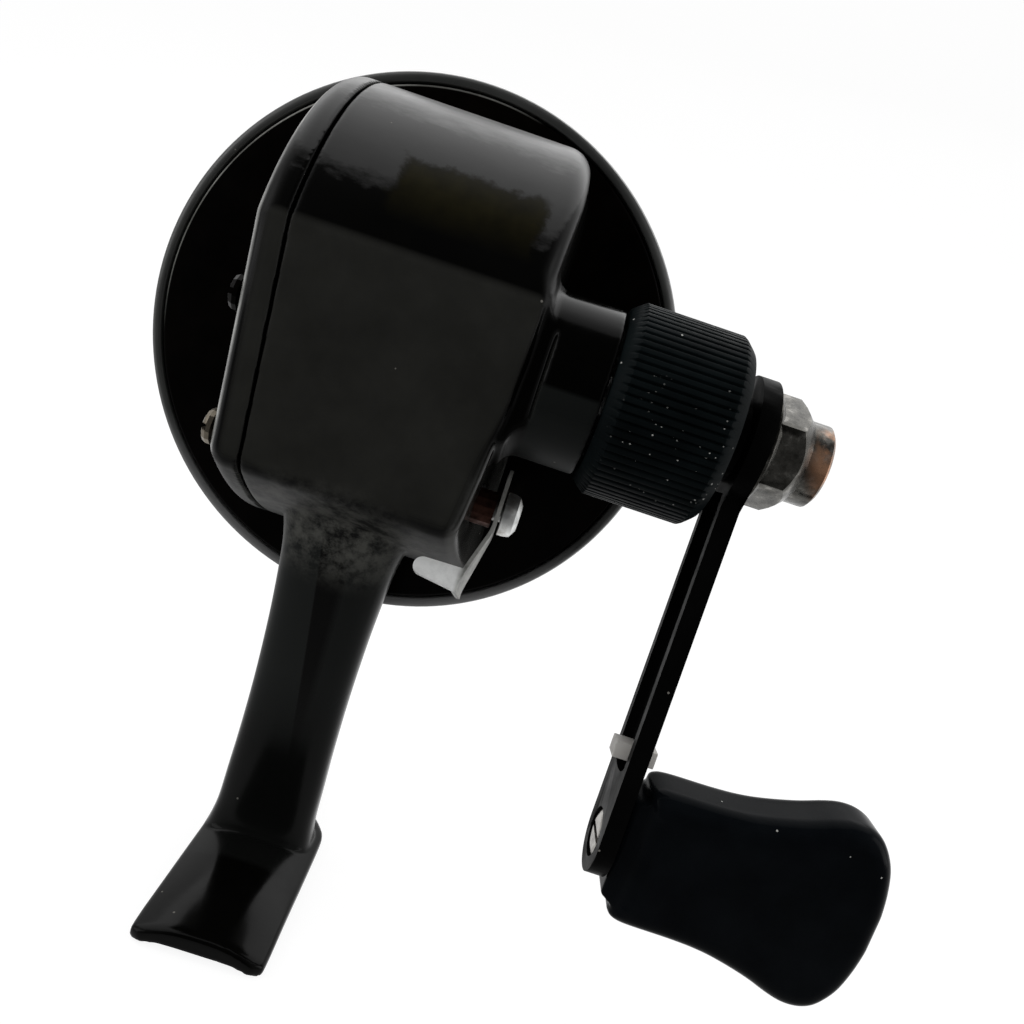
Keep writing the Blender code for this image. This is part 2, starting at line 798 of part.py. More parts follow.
def make_front_cover():
    """The drawn front shell, open at its nose for the line and the release button."""
    outer_shares = ((nose_share, 1.0), (0.44, 0.995), (0.58, 0.945), (0.73, 0.85), (0.85, 0.72),
                    (0.94, 0.56), (0.985, 0.42), (1.0, 0.28), (1.006, 0.14), (1.006, 0.06),
                    (0.997, 0.024), (0.982, 0.009))
    outer = [(housing_radius * radius_share, housing_depth * depth_share)
             for radius_share, depth_share in outer_shares]
    rim_inner = plate_radius + gap
    inner = [(rim_inner, plate_recess), (rim_inner, plate_recess + plate_thick + gap)]
    for radius, depth in reversed(outer[:7]):
        inner.append((radius - housing_wall * 0.9, depth - housing_wall * 0.75))
    inner[-1] = (outer[0][0], outer[0][1] - housing_wall)
    turned("front_cover", outer + inner, along_ahead, place(0, 0, 0), housing_steps, "housing_paint")


def make_nose_ring():
    """The smooth metal ring that lines the nose and guides the line out."""
    outer = nose_radius - gap
    inner = outer - ring_wall
    rear = housing_depth - housing_wall * 2
    front = housing_depth + ring_wall
    seat = housing_depth + gap
    lip = outer + ring_wall
    mouth = inner + ring_wall * 0.4
    outline = [(mouth, front), (outer, front), (lip, front - ring_wall * 0.35), (lip, seat),
               (outer, seat), (outer, rear), (mouth, rear), (inner, rear + ring_wall * 0.5),
               (inner, front - ring_wall * 0.5)]
    turned("nose_ring", outline, along_ahead, place(0, 0, 0), ring_steps, "chrome")


def make_spool():
    """The line spool: two flanges, a core and a web that sits on the plate's sleeve."""
    outline = [(spool_bore, spool_end), (spool_front_flange, spool_end),
               (spool_front_flange, spool_end - spool_web), (spool_core, spool_end - spool_web),
               (spool_core, spool_start + spool_web), (spool_rear_flange, spool_start + spool_web),
               (spool_rear_flange, spool_start), (spool_core - spool_web, spool_start),
               (spool_core - spool_web, spool_end - 2 * spool_web),
               (spool_bore + 2 * spool_web, spool_end - 2 * spool_web),
               (spool_bore + 2 * spool_web, spool_start), (spool_bore, spool_start)]
    turned("spool", outline, along_ahead, place(0, 0, 0), spool_steps, "black_plastic")


def make_spool_clip():
    """The ring that keeps the spool on the sleeve."""
    tube("spool_clip", sleeve_radius + gap + clip_wall, sleeve_radius + gap, spool_end + gap,
         sleeve_end - gap, along_ahead, place(0, 0, 0), clip_steps, "steel")


def make_winding_cup():
    """The cup that turns round the spool and carries the two pickup pins."""
    bore = shaft_radius + gap
    nose = cup_nose_radius
    collar = cup_nose_end + cup_collar
    skirt_inner = cup_radius - cup_wall
    shoulder = cup_front - cup_wall * 1.8
    hub_rear = cup_front - cup_wall * 1.4
    outline = [(nose, collar), (nose, cup_front), (cup_radius - cup_wall * 1.6, cup_front),
               (cup_radius - cup_wall * 0.5, cup_front - cup_wall * 0.5), (cup_radius, shoulder),
               (cup_radius, cup_mouth), (skirt_inner, cup_mouth), (skirt_inner, shoulder),
               (skirt_inner - cup_wall, cup_front - cup_wall), (cup_hub_radius, cup_front - cup_wall),
               (cup_hub_radius, hub_rear), (bore, hub_rear), (bore, cup_nose_end),
               (nose - cup_collar_wall, cup_nose_end), (nose - cup_collar_wall, collar)]
    cup = turned("winding_cup", outline, along_ahead, place(0, 0, 0), cup_steps, "steel")
    for index in range(2):
        start = cup_radius - cup_wall * 3
        turn = Matrix.Rotation(math.radians(180 * index), 4, "Y")
        cut(cup, rod(f"pin_hole_{index}", pin_radius + gap, start, cup_radius + overrun,
                     turn @ along_side, place(0, pin_ahead, 0), post_steps))


def make_pickup_pins():
    """Two pins that stand out of the cup's skirt to catch the line."""
    for index, name in enumerate(("pickup_pin_right", "pickup_pin_left")):
        turn = Matrix.Rotation(math.radians(180 * index), 4, "Y")
        tip = cup_radius + pin_proud
        outline = [(0, tip), (pin_radius * 0.7, tip), (pin_radius, tip - pin_radius * 0.3),
                   (pin_radius, tip - pin_length), (0, tip - pin_length)]
        turned(name, outline, turn @ along_side, place(0, pin_ahead, 0), post_steps, "chrome")


def make_centre_shaft():
    """The shaft that turns the cup, with its pinion cut on it."""
    outline = [(0, shaft_front), (shaft_radius, shaft_front), (shaft_radius, -shaft_rear), (0, -shaft_rear)]
    shaft = turned("pinion_shaft", outline, along_ahead, place(0, 0, 0), shaft_steps, "steel")
    ring = []
    half_tooth = pinion_tooth / 2
    for tooth in range(pinion_teeth):
        angle = math.radians(360 / pinion_teeth) * (tooth + 0.5)
        turn = Matrix.Rotation(angle, 2)
        root_half = half_tooth * 1.5
        for along, across in ((pinion_root, -root_half), (pinion_tip, -half_tooth * 0.8),
                              (pinion_tip, half_tooth * 0.8), (pinion_root, root_half)):
            ring.append(turn @ Vector((along, across)))
    rear = pinion_middle() - pinion_length / 2
    face = [place(side, rear, up) for side, up in ring]
    join(shaft, from_bmesh("pinion", prism_form(face, Vector((0, pinion_length, 0)))))
    return shaft


def mesh_radius():
    """Middle radius of the drive gear's ring of teeth."""
    return (gear_outer + gear_tooth_inner) / 2


def pinion_middle():
    """The pinion lies where the ring of teeth crosses the spool axis ahead of the crank."""
    return -crank_behind + math.sqrt(mesh_radius() ** 2 - crank_above ** 2)


def make_bushes():
    inner = shaft_radius + gap
    tube("front_bush", inner + bush_wall, inner, -box_wall * 1.8, sleeve_end - gap, along_ahead,
         place(0, 0, 0), shaft_steps, "bronze")
    tube("rear_bush", inner + rear_bush_wall, inner, -box_rear + rear_bearing_floor + gap,
         -box_rear + box_wall + rear_bearing_proud, along_ahead, place(0, 0, 0), shaft_steps, "bronze")


def make_cup_nut():
    """The small hexagon nut that holds the winding cup on its shaft."""
    hexagon = rod("cup_nut", nut_flats / math.sqrt(3), cup_nose_end + gap, cup_nose_end + gap + nut_height,
                  along_ahead, place(0, 0, 0), 6, "brass")
    cut(hexagon, rod("cup_nut_bore", shaft_radius + gap, cup_nose_end - overrun,
                     cup_nose_end + nut_height + overrun * 2, along_ahead, place(0, 0, 0), screw_steps))


def make_release_button():
    """The round front button, a dished cap whose skirt slides over the cup's nose."""
    inner = cup_nose_radius + gap
    ceiling = button_face - button_dome - button_wall
    dish_shares = ((0.0, 1.0), (0.45, 0.75), (0.78, 0.1), (0.88, 0.0), (0.97, 0.3), (1.0, 1.0))
    outline = [(button_radius * radius_share, button_face - button_dome * sink_share)
               for radius_share, sink_share in dish_shares]
    outline += [(button_radius, button_rim), (inner, button_rim), (inner, ceiling), (0, ceiling)]
    turned("release_button", outline, along_ahead, place(0, 0, 0), button_steps, "gloss_plastic")


def make_release_spring():
    """The coil that pushes the release button out again."""
    start = cup_nose_end + gap
    end = button_face - button_dome - button_wall - button_travel - gap
    wire_spring("release_spring", release_spring_radius, release_spring_wire, release_spring_turns,
                start, end, along_ahead, place(0, 0, 0))


def wire_spring(name, radius, wire, turns, start, end, axis, centre):
    """One unbroken coil; it prints the least gap between its turns."""
    points = turns * points_per_turn
    curve = bpy.data.curves.new(name, "CURVE")
    curve.dimensions = "3D"
    curve.bevel_depth = wire / 2
    curve.bevel_resolution = 1
    curve.use_fill_caps = True
    spline = curve.splines.new("POLY")
    spline.points.add(points)
    first, last = start + wire / 2, end - wire / 2
    for index, point in enumerate(spline.points):
        angle = 2 * math.pi * turns * index / points
        along = first + (last - first) * index / points
        point.co = (radius * math.cos(angle), radius * math.sin(angle), along, 1)
    print(name, "least gap between turns, mm:", round(((last - first) / turns - wire) / mm, 2))
    spring = add_object(name, curve, "steel")
    spring.matrix_world = Matrix.Translation(centre) @ axis
    return spring


def make_crank_shaft():
    """The crank's shaft, with a head that the drive gear sits against."""
    tip = nut_end - gap
    seat = crank_head_start + washer_thick
    outline = [(0, tip), (crank_shaft_radius, tip), (crank_shaft_radius, seat), (crank_head_radius, seat),
               (crank_head_radius, crank_head_start), (0, crank_head_start)]
    turned("crank_shaft", outline, along_side, crank_centre(), bore_steps, "steel")


def make_drive_gear():
    """The face gear: a ring of teeth that lie parallel to the pinion where they meet it."""
    bore = crank_shaft_radius + gap
    outline = [(gear_hub_radius, gear_hub_end), (gear_hub_radius, gear_back), (gear_outer, gear_back),
               (gear_outer, gear_face), (bore, gear_face), (bore, gear_hub_end)]
    gear = turned("drive_gear", outline, along_side, crank_centre(), gear_teeth, "brass")
    forms = []
    skew = math.asin(crank_above / mesh_radius())
    length = gear_outer - gear_tooth_inner
    sink = (gear_back - gear_face) / 4
    for tooth in range(gear_teeth):
        angle = 2 * math.pi * tooth / gear_teeth - skew
        form = bmesh.new()
        size = Matrix.Diagonal((gear_face + sink - gear_tooth_top, length, gear_tooth, 1))
        lift = Matrix.Translation(((gear_face + sink + gear_tooth_top) / 2, 0, 0))
        lean = Matrix.Translation((0, mesh_radius(), 0)) @ Matrix.Rotation(skew, 4, "X")
        spin = Matrix.Rotation(angle, 4, "X")
        bmesh.ops.create_cube(form, size=1)
        bmesh.ops.transform(form, verts=form.verts,
                            matrix=Matrix.Translation(crank_centre()) @ spin @ lean @ lift @ size)
        forms.append(form)
    join(gear, merge_forms("gear_teeth", forms))


def make_gear_washer():
    """The friction washer between the drive gear and the ratchet wheel."""
    tube("gear_friction_washer", washer_radius, crank_shaft_radius + gap, gear_hub_end + gap,
         gear_hub_end + gap + washer_thick, along_side, crank_centre(), bore_steps, "felt")


def ratchet_start():
    return gear_hub_end + 2 * gap + washer_thick


def make_ratchet_wheel():
    """The saw-toothed wheel that the anti-reverse pawl stops."""
    start = ratchet_start()
    ring = []
    pitch = 2 * math.pi / ratchet_teeth
    phase = pawl_contact()[1] + gap / pawl_tip
    for tooth in range(ratchet_teeth):
        angle = phase - pitch * tooth
        for turn_share, rise_share in ((0.0, 0.0), (0.34, 0.25), (0.72, 0.72), (0.98, 1.0)):
            turn = angle - pitch * turn_share
            radius = ratchet_root + (ratchet_tip - ratchet_root) * rise_share
            ring.append(Vector((math.cos(turn), math.sin(turn))) * radius)
    face = [place(start, ahead - crank_behind, up + crank_above) for ahead, up in ring]
    sweep = Vector((ratchet_thick, 0, 0))
    wheel = from_bmesh("ratchet_wheel", prism_form(face, sweep), "steel")
    cut(wheel, rod("ratchet_bore", crank_shaft_radius + gap, start - overrun,
                   start + ratchet_thick + overrun, along_side, crank_centre(), shaft_steps))


def make_crank_bush():
    """The long flanged bush in the boss."""
    start = ratchet_start() + ratchet_thick + gap
    inner = crank_shaft_radius + gap
    outer = inner + crank_bush_wall
    shoulder = start + crank_bush_flange_thick
    outline = [(outer, boss_end - gap), (outer, shoulder), (crank_bush_flange, shoulder),
               (crank_bush_flange, start), (inner, start), (inner, boss_end - gap)]
    turned("crank_bush", outline, along_side, crank_centre(), bore_steps, "bronze")


def make_drag_knob():
    """The knurled drag knob, with chamfered ends and a recess for its spring."""
    sections = ((drag_start, drag_inner_radius, 0),
                (drag_start + drag_inner_chamfer, drag_radius, drag_ridge_depth),
                (drag_end - drag_chamfer, drag_radius, drag_ridge_depth), (drag_end, drag_end_radius, 0))
    rings = []
    for side, radius, depth in sections:
        ring = []
        for step in range(2 * drag_ridges):
            angle = math.pi * step / drag_ridges
            reach = radius - depth * (step % 2)
            ring.append(crank_centre() + Vector((side, reach * math.cos(angle), reach * math.sin(angle))))
        rings.append(ring)
    knob = from_bmesh("drag_knob", loft_form(rings), "black_plastic")
    cut(knob, rod("drag_recess", drag_recess_radius, drag_start - overrun, drag_start + drag_recess_depth,
                  along_side, crank_centre(), knob_steps),
        rod("drag_bore", crank_shaft_radius + gap, drag_start, drag_end + overrun, along_side,
            crank_centre(), shaft_steps))


def make_drag_spring():
    """The drag's coil in the knob's recess, and the washer that it presses on."""
    start = drag_start + gap + washer_thick + gap
    wire_spring("drag_spring", spring_radius, spring_wire, spring_turns, start,
                drag_start + drag_recess_depth - gap, along_side, crank_centre())
    tube("drag_washer", drag_recess_radius - gap, crank_shaft_radius + gap, drag_start + gap,
         drag_start + gap + washer_thick, along_side, crank_centre(), bore_steps, "steel")


def arm_turn():
    """Turns a place below the crank axis to the arm's rest angle."""
    return Matrix.Translation(crank_centre()) @ Matrix.Rotation(-crank_lean, 4, "X")


def spindle_centre():
    return arm_turn() @ Vector((0, 0, -crank_reach))


def arm_outline():
    """The arm seen along the crank, as (ahead, up) from the crank axis."""
    points = []
    spread = math.asin(arm_half / arm_eye)
    for step in range(eye_steps + 1):
        angle = math.radians(-90) + spread + (2 * math.pi - 2 * spread) * step / eye_steps
        points.append((arm_eye * math.cos(angle), arm_eye * math.sin(angle)))
    for step in range(end_steps + 1):
        angle = math.pi * (1 + step / end_steps)
        drop = arm_end_radius * math.sin(angle) - crank_reach
        points.append((arm_end_radius * math.cos(angle), drop))
    return points


def make_crank_arm():
    """The crank arm: a channel, open towards the reel, with a round eye at the shaft."""
    outline = arm_outline()
    turn = arm_turn()
    inner, outer = [[turn @ Vector((side, ahead, up)) for ahead, up in outline]
                    for side in (arm_inner, arm_outer)]
    form = prism_form(inner, Vector((arm_outer - arm_inner, 0, 0)))
    round_rims(form, [outer], arm_edge, 1)
    arm = from_bmesh("crank_arm", form, "black_paint")
    half = arm_half - arm_flange
    top = -arm_eye * 0.8
    bottom = -crank_reach + peg_up - peg_height / 2 - gap - arm_flange
    cut_corner = half * 0.4
    channel_points = [(half, top), (half, bottom + cut_corner), (half - cut_corner, bottom),
                      (cut_corner - half, bottom), (-half, bottom + cut_corner), (-half, top)]
    mouth = [turn @ Vector((arm_inner - overrun, ahead, up)) for ahead, up in channel_points]
    sweep = Vector((arm_outer - arm_web - arm_inner + overrun, 0, 0))
    cut(arm, from_bmesh("arm_channel", prism_form(mouth, sweep)))
    join(arm, rod("arm_collar", arm_collar_radius, arm_collar_start, arm_inner + arm_web,
                  along_side, crank_centre(), bore_steps))
    cut(arm, rod("arm_bore", crank_shaft_radius + gap, arm_collar_start - overrun, arm_outer + overrun,
                 along_side, crank_centre(), shaft_steps),
        rod("arm_spindle_hole", spindle_radius + gap, arm_inner, arm_outer + overrun, along_side,
            spindle_centre(), screw_steps),
        rod("arm_head_recess", spindle_head_radius + gap, arm_inner - overrun, arm_inner + spindle_recess,
            along_side, spindle_centre(), spindle_steps))
    cut(arm, peg_block("arm_peg_hole", gap, arm_inner - overrun, arm_outer + overrun, None))


def peg_block(name, margin, start, end, finish):
    """The peg's square bar through the arm, above the knob's spindle."""
    form = bmesh.new()
    size = Matrix.Diagonal((end - start, peg_side + 2 * margin, peg_height + 2 * margin, 1))
    centre = Matrix.Translation(((start + end) / 2, 0, -crank_reach + peg_up))
    bmesh.ops.create_cube(form, size=1)
    bmesh.ops.transform(form, matrix=arm_turn() @ centre @ size, verts=form.verts)
    return from_bmesh(name, form, finish)


def make_arm_peg():
    peg_block("arm_peg", 0, peg_start, peg_end, "nylon")


def make_crank_nut():
    """The flanged hexagon nut with a round collar."""
    start = arm_outer + gap
    flange_end = start + nut_flange_thick
    corner = nut_hex_flats / math.sqrt(3)
    hex_start = flange_end - nut_flange_thick / 2
    hexagon = []
    for step in range(6):
        angle = math.radians(30 + 60 * step)
        flat = Vector((hex_start, corner * math.cos(angle), corner * math.sin(angle)))
        hexagon.append(crank_centre() + flat)
    nut = from_bmesh("crank_nut", prism_form(hexagon, Vector((nut_hex_end - hex_start, 0, 0))), "zinc")
    wide = corner + overrun
    narrow = nut_collar_radius + sheet_lap
    slope = wide - narrow
    cone = [(0, nut_hex_end + overrun), (narrow, nut_hex_end + overrun), (narrow, nut_hex_end),
            (wide, nut_hex_end - slope), (wide, start), (0, start)]
    combine(nut, turned("nut_chamfer", cone, along_side, crank_centre(), nut_steps), "INTERSECT")
    outline = [(0, flange_end), (nut_flange_radius * 0.93, flange_end),
               (nut_flange_radius, start + nut_flange_thick * 0.4), (nut_flange_radius, start), (0, start)]
    join(nut, turned("nut_flange", outline, along_side, crank_centre(), nut_steps))
    root = nut_hex_end - overrun / 2
    top = [(0, nut_end), (nut_collar_radius * 0.9, nut_end),
           (nut_collar_radius, nut_end - nut_flange_thick * 0.5), (nut_collar_radius, root), (0, root)]
    join(nut, turned("nut_collar", top, along_side, crank_centre(), nut_steps))
    cut(nut, rod("nut_bore", crank_shaft_radius + gap, start - overrun, nut_end + overrun, along_side,
                 crank_centre(), shaft_steps))


def make_knob_spindle():
    """The headed spindle that the knob turns on; its slotted head lies in the arm's channel."""
    seat = arm_inner + spindle_recess - gap
    head = seat - spindle_head_height
    end = paddle_start + spindle_reach
    outline = [(0, end), (spindle_radius * 0.8, end), (spindle_radius, end - spindle_radius * 0.3),
               (spindle_radius, seat), (spindle_head_radius, seat),
               (spindle_head_radius, head + spindle_head_height * 0.3), (spindle_head_radius * 0.75, head),
               (0, head)]
    spindle = turned("knob_spindle", outline, along_side, spindle_centre(), spindle_steps, "nickel")
    reach = spindle_head_radius + overrun
    low = spindle_centre() + Vector((head - overrun, -reach, -slot_width / 2))
    high = spindle_centre() + Vector((head + slot_depth * 0.6, reach, slot_width / 2))
    cut(spindle, block("spindle_slot", low, high))


def make_paddle_knob():
    """The flat fish-tail knob, bored for its spindle."""
    upper = [(paddle_start + (paddle_end - paddle_start) * along_share, paddle_half * half_share)
             for along_share, half_share in paddle_half_shares]
    outline = upper + [(along, -half) for along, half in reversed(upper)]
    centre = spindle_centre()
    rings = [[centre + Vector((along, depth, half)) for along, half in outline]
             for depth in (-paddle_thick / 2, paddle_thick / 2)]
    form = prism_form(rings[0], Vector((0, paddle_thick, 0)))
    round_rims(form, rings, paddle_edge, 3)
    knob = from_bmesh("paddle_knob", form, "gloss_plastic")
    cut(knob, rod("paddle_bore", spindle_radius + gap, paddle_start - overrun,
                  paddle_start + spindle_reach + overrun, along_side, centre, spindle_steps))


def lever_centre():
    return place(0, lever_ahead, lever_up)


def make_anti_reverse_lever():
    """The bent sheet lever: an eye at the pivot, a joggled arm and a tab turned under the box."""
    slant = math.atan2(lever_back, lever_drop)
    reach = math.hypot(lever_back, lever_drop)
    centre_line = Matrix.Translation(lever_centre()) @ Matrix.Rotation(-slant, 4, "X")
    half = lever_width / 2
    tail = lever_tail + lever_eye
    sections = ((tail, lever_eye * 0.35, 0), (tail - lever_eye * 0.25, lever_eye * 0.72, 0),
                (tail - lever_eye * 0.6, lever_eye * 0.94, 0), (lever_tail, lever_eye, 0),
                (0, lever_eye, 0), (-lever_eye * 0.6, lever_eye * 0.85, 0), (-lever_eye * 1.2, half, 0),
                (-lever_eye * 1.5, half, 0), (-reach + half * 1.2, half, 1), (-reach - half, half, 1))
    rings = []
    for up, half_width, joggle_share in sections:
        outer = lever_plane - lever_joggle * joggle_share
        corners = ((outer, -half_width), (outer, half_width), (outer - lever_thick, half_width),
                   (outer - lever_thick, -half_width))
        rings.append([centre_line @ Vector((side, ahead, up)) for side, ahead in corners])
    lever = from_bmesh("anti_reverse_lever", loft_form(rings), "zinc")
    tip = lever_plane - lever_thick - lever_joggle
    tab_half = half - sheet_lap
    tab_shape = [(tip + lever_thick * 0.5, -tab_half), (tip + lever_thick * 0.5, tab_half)]
    for angle in range(90, 271, 36):
        tab_shape.append((tip - lever_tab + half + tab_half * math.cos(math.radians(angle)),
                          tab_half * math.sin(math.radians(angle))))
    rear, front = [[centre_line @ Vector((side, ahead, -reach + up)) for side, up in tab_shape]
                   for ahead in (-half + sheet_lap, -half + lever_thick)]
    join(lever, from_bmesh("lever_tab", prism_form(rear, front[0] - rear[0])))
    cut(lever, rod("lever_hole", lever_pivot_radius + gap, lever_plane - lever_thick - overrun,
                   lever_plane + overrun, along_side, lever_centre(), screw_steps))


def pawl_contact():
    """The pawl's length and the angle about the crank of the spot where it stops a tooth squarely."""
    ahead, up = lever_ahead + crank_behind, lever_up - crank_above
    distance = math.hypot(ahead, up)
    reach = math.sqrt(distance ** 2 - pawl_tip ** 2)
    return reach, math.atan2(up, ahead) + math.acos(pawl_tip / distance)


def make_lever_pivot():
    """The riveted pivot: a pan head outside, the pawl on its inner end."""
    head_seat = lever_plane + gap
    head = head_seat + lever_head_height
    head_shares = ((0.0, 0.0), (0.6, 0.0), (0.93, 0.25), (1.0, 0.6), (1.0, 1.0))
    outline = [(lever_head_radius * radius_share, head - lever_head_height * sink_share)
               for radius_share, sink_share in head_shares]
    tail = ratchet_start()
    outline += [(lever_pivot_radius, head_seat), (lever_pivot_radius, tail), (0, tail)]
    turned("lever_pivot", outline, along_side, lever_centre(), spindle_steps, "zinc")


def make_lever_bush():
    """The brown fibre bush that the pivot turns in."""
    start = ratchet_start() + ratchet_thick + gap
    tube("lever_bush", lever_bush_radius, lever_pivot_radius + gap, start, lever_plane - lever_thick - gap,
         along_side, lever_centre(), screw_steps, "bronze")


def make_pawl():
    """The pawl that the lever swings into the ratchet wheel."""
    reach, contact = pawl_contact()
    turn = Matrix.Translation(lever_centre()) @ Matrix.Rotation(contact - lever_swing, 4, "X")
    shape = []
    for step in range(9):
        angle = math.radians(150 + 30 * step)
        shape.append((pawl_hub * math.cos(angle), pawl_hub * math.sin(angle)))
    shape += [(pawl_width + pawl_nose, reach * 0.72), (pawl_width, reach), (-pawl_nose, reach),
              (-pawl_nose, reach - pawl_beak)]
    start = ratchet_start()
    face = [turn @ Vector((start, ahead, up)) for ahead, up in shape]
    pawl = from_bmesh("anti_reverse_pawl", prism_form(face, Vector((ratchet_thick, 0, 0))), "steel")
    cut(pawl, rod("pawl_bore", lever_pivot_radius + gap, start - overrun, start + ratchet_thick + overrun,
                  along_side, lever_centre(), screw_steps))


def hang(name, centre, pieces, parent=None):
    """Put an empty on a joint's axis and parent to it the pieces that move there."""
    axis = bpy.data.objects.new(name, None)
    axis.empty_display_size = axis_mark
    axis.location = centre
    reel.objects.link(axis)
    if parent:
        axis.parent = parent
        axis.matrix_parent_inverse = Matrix.Translation(-parent.matrix_basis.translation)
    for piece_name in pieces:
        piece = bpy.data.objects[piece_name]
        piece.parent = axis
        piece.matrix_parent_inverse = Matrix.Translation(-centre)
    return axis


make_body_frame()
make_side_cover()
make_side_cover_screws()
make_rear_plate()
make_plate_screws()
make_front_cover()
make_nose_ring()
make_spool()
make_spool_clip()
make_winding_cup()
make_pickup_pins()
make_centre_shaft()
make_bushes()
make_cup_nut()
make_release_button()
make_release_spring()
make_crank_shaft()
make_drive_gear()
make_gear_washer()
make_ratchet_wheel()
make_crank_bush()
make_drag_knob()
make_drag_spring()
make_crank_arm()
make_arm_peg()
make_crank_nut()
make_knob_spindle()
make_paddle_knob()
make_anti_reverse_lever()
make_lever_pivot()
make_lever_bush()
make_pawl()

crank_axis = hang("crank_axis", crank_centre(), ("crank_shaft", "drive_gear", "gear_friction_washer",
                                                 "ratchet_wheel", "drag_spring", "drag_washer", "crank_arm",
                                                 "arm_peg", "crank_nut", "knob_spindle"))
hang("drag_knob_axis", crank_centre(), ("drag_knob",), crank_axis)
hang("paddle_axis", spindle_centre(), ("paddle_knob",), crank_axis)
cup_axis = hang("cup_axis", place(0, 0, 0), ("pinion_shaft", "winding_cup", "cup_nut", "release_spring"))
hang("button_axis", place(0, button_rim, 0), ("release_button",), cup_axis)
hang("right_pin_axis", place(cup_radius, pin_ahead, 0), ("pickup_pin_right",), cup_axis)
hang("left_pin_axis", place(-cup_radius, pin_ahead, 0), ("pickup_pin_left",), cup_axis)
hang("lever_axis", lever_centre(), ("anti_reverse_lever", "lever_pivot", "anti_reverse_pawl"))
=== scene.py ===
"""The looks of a black spincast reel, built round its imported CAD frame."""
import json
import math
import bmesh
import bpy
from mathutils import Matrix, Vector
from mathutils.bvhtree import BVHTree


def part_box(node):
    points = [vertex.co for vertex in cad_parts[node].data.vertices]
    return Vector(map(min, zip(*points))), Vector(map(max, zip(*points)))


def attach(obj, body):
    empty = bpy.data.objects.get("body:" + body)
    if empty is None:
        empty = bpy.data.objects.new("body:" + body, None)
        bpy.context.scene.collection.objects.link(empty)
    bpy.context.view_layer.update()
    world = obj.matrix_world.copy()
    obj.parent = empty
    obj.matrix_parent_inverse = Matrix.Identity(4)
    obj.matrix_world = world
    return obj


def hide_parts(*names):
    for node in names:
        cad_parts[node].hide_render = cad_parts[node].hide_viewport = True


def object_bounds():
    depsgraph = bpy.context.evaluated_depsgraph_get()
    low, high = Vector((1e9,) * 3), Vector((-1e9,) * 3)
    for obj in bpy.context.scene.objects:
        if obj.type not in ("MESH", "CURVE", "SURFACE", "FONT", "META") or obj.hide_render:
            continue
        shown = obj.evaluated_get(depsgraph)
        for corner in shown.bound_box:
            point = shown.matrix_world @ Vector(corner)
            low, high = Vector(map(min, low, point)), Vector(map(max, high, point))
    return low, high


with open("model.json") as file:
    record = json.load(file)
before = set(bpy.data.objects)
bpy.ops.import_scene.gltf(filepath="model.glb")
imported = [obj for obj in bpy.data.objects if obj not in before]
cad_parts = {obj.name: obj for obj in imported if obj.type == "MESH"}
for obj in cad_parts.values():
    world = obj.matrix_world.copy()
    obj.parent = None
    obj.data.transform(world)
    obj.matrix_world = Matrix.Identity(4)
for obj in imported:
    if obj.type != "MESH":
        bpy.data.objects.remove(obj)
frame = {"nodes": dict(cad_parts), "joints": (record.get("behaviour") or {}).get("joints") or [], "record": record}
cad_box = [list(corner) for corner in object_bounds()]
mm = 0.001

# Axes of the reel, read from the frame's joints
joints = {joint["name"]: joint for joint in frame["joints"]}
reel_axis = Vector(joints["rotor_spin"]["pos_m"])
crank_axis = Vector(joints["crank_turn"]["pos_m"])
paddle_axis = Vector(joints["paddle_spin"]["pos_m"])
lever_axis = Vector(joints["anti_reverse_swing"]["pos_m"])
side_way = Vector((1, 0, 0))
ahead_way = Vector((0, 1, 0))

# Camera, as solved from the photograph
camera_place = Vector((16.146, -113.580, 76.890)) * mm
camera_right = Vector((0.9485, 0.0337, 0.3150))
camera_down = Vector((0.3159, -0.1774, -0.9321))
camera_forward = Vector((0.0245, 0.9836, -0.1789))
focal_pixels = 872.654
frame_pixels = 1024
sensor_width = 36.0

# Fineness, and how far a cutting tool reaches past a face
turn_steps = 160
bore_steps = 96
pin_steps = 64
rim_steps = 12
edge_segments = 3
edge_round = 0.25 * mm
fine_round = 0.12 * mm
bell_round = 0.4 * mm
nut_round = 0.15 * mm
cast_voxel = 0.3 * mm
cast_smoothing = 2
skin_voxel = 0.22 * mm
skin_smoothing = 10
skin_reach = 0.9 * mm
skin_agreement = 0.4
paddle_smoothing = 6
weld_reach = 0.001 * mm
past = 1 * mm

# Angles in degrees beyond which an edge is shaded sharp
sharp_angle = 35
turned_angle = 50
ridge_angle = 28
bevelled_angle = 40
all_smooth = 180

# Rounding of a turned outline's corners
corner_steps = 4
corner_share = 0.45
nearly_straight = math.radians(145)
short_line = 0.02 * mm
same_angle = 0.002

# Gearbox, from the spool axis as side, ahead and up
gap = 0.3 * mm
box_front = -0.1 * mm
box_rear = 25.6 * mm
box_top = 32.0 * mm
box_crest = 10.7 * mm
box_keel = 17.0 * mm
box_bottom = 27.4 * mm
box_right = 17.3 * mm
box_left = 13.0 * mm
box_right_lean = 1.4 * mm
box_draft = 1.7 * mm
brow_start = 21.5 * mm
brow_draw = 2.6 * mm
roof_edge = 2.2 * mm
panel_edge = 0.7 * mm
low_edge = 1.9 * mm
low_edge_start = 9.0 * mm
roof_edge_start = 4.0 * mm
keel_fillet = 3.0 * mm
roof_bulge_share = 0.149
floor_bulge_share = 0.055
cover_depth = 4.3 * mm
cover_edge = 2.7 * mm

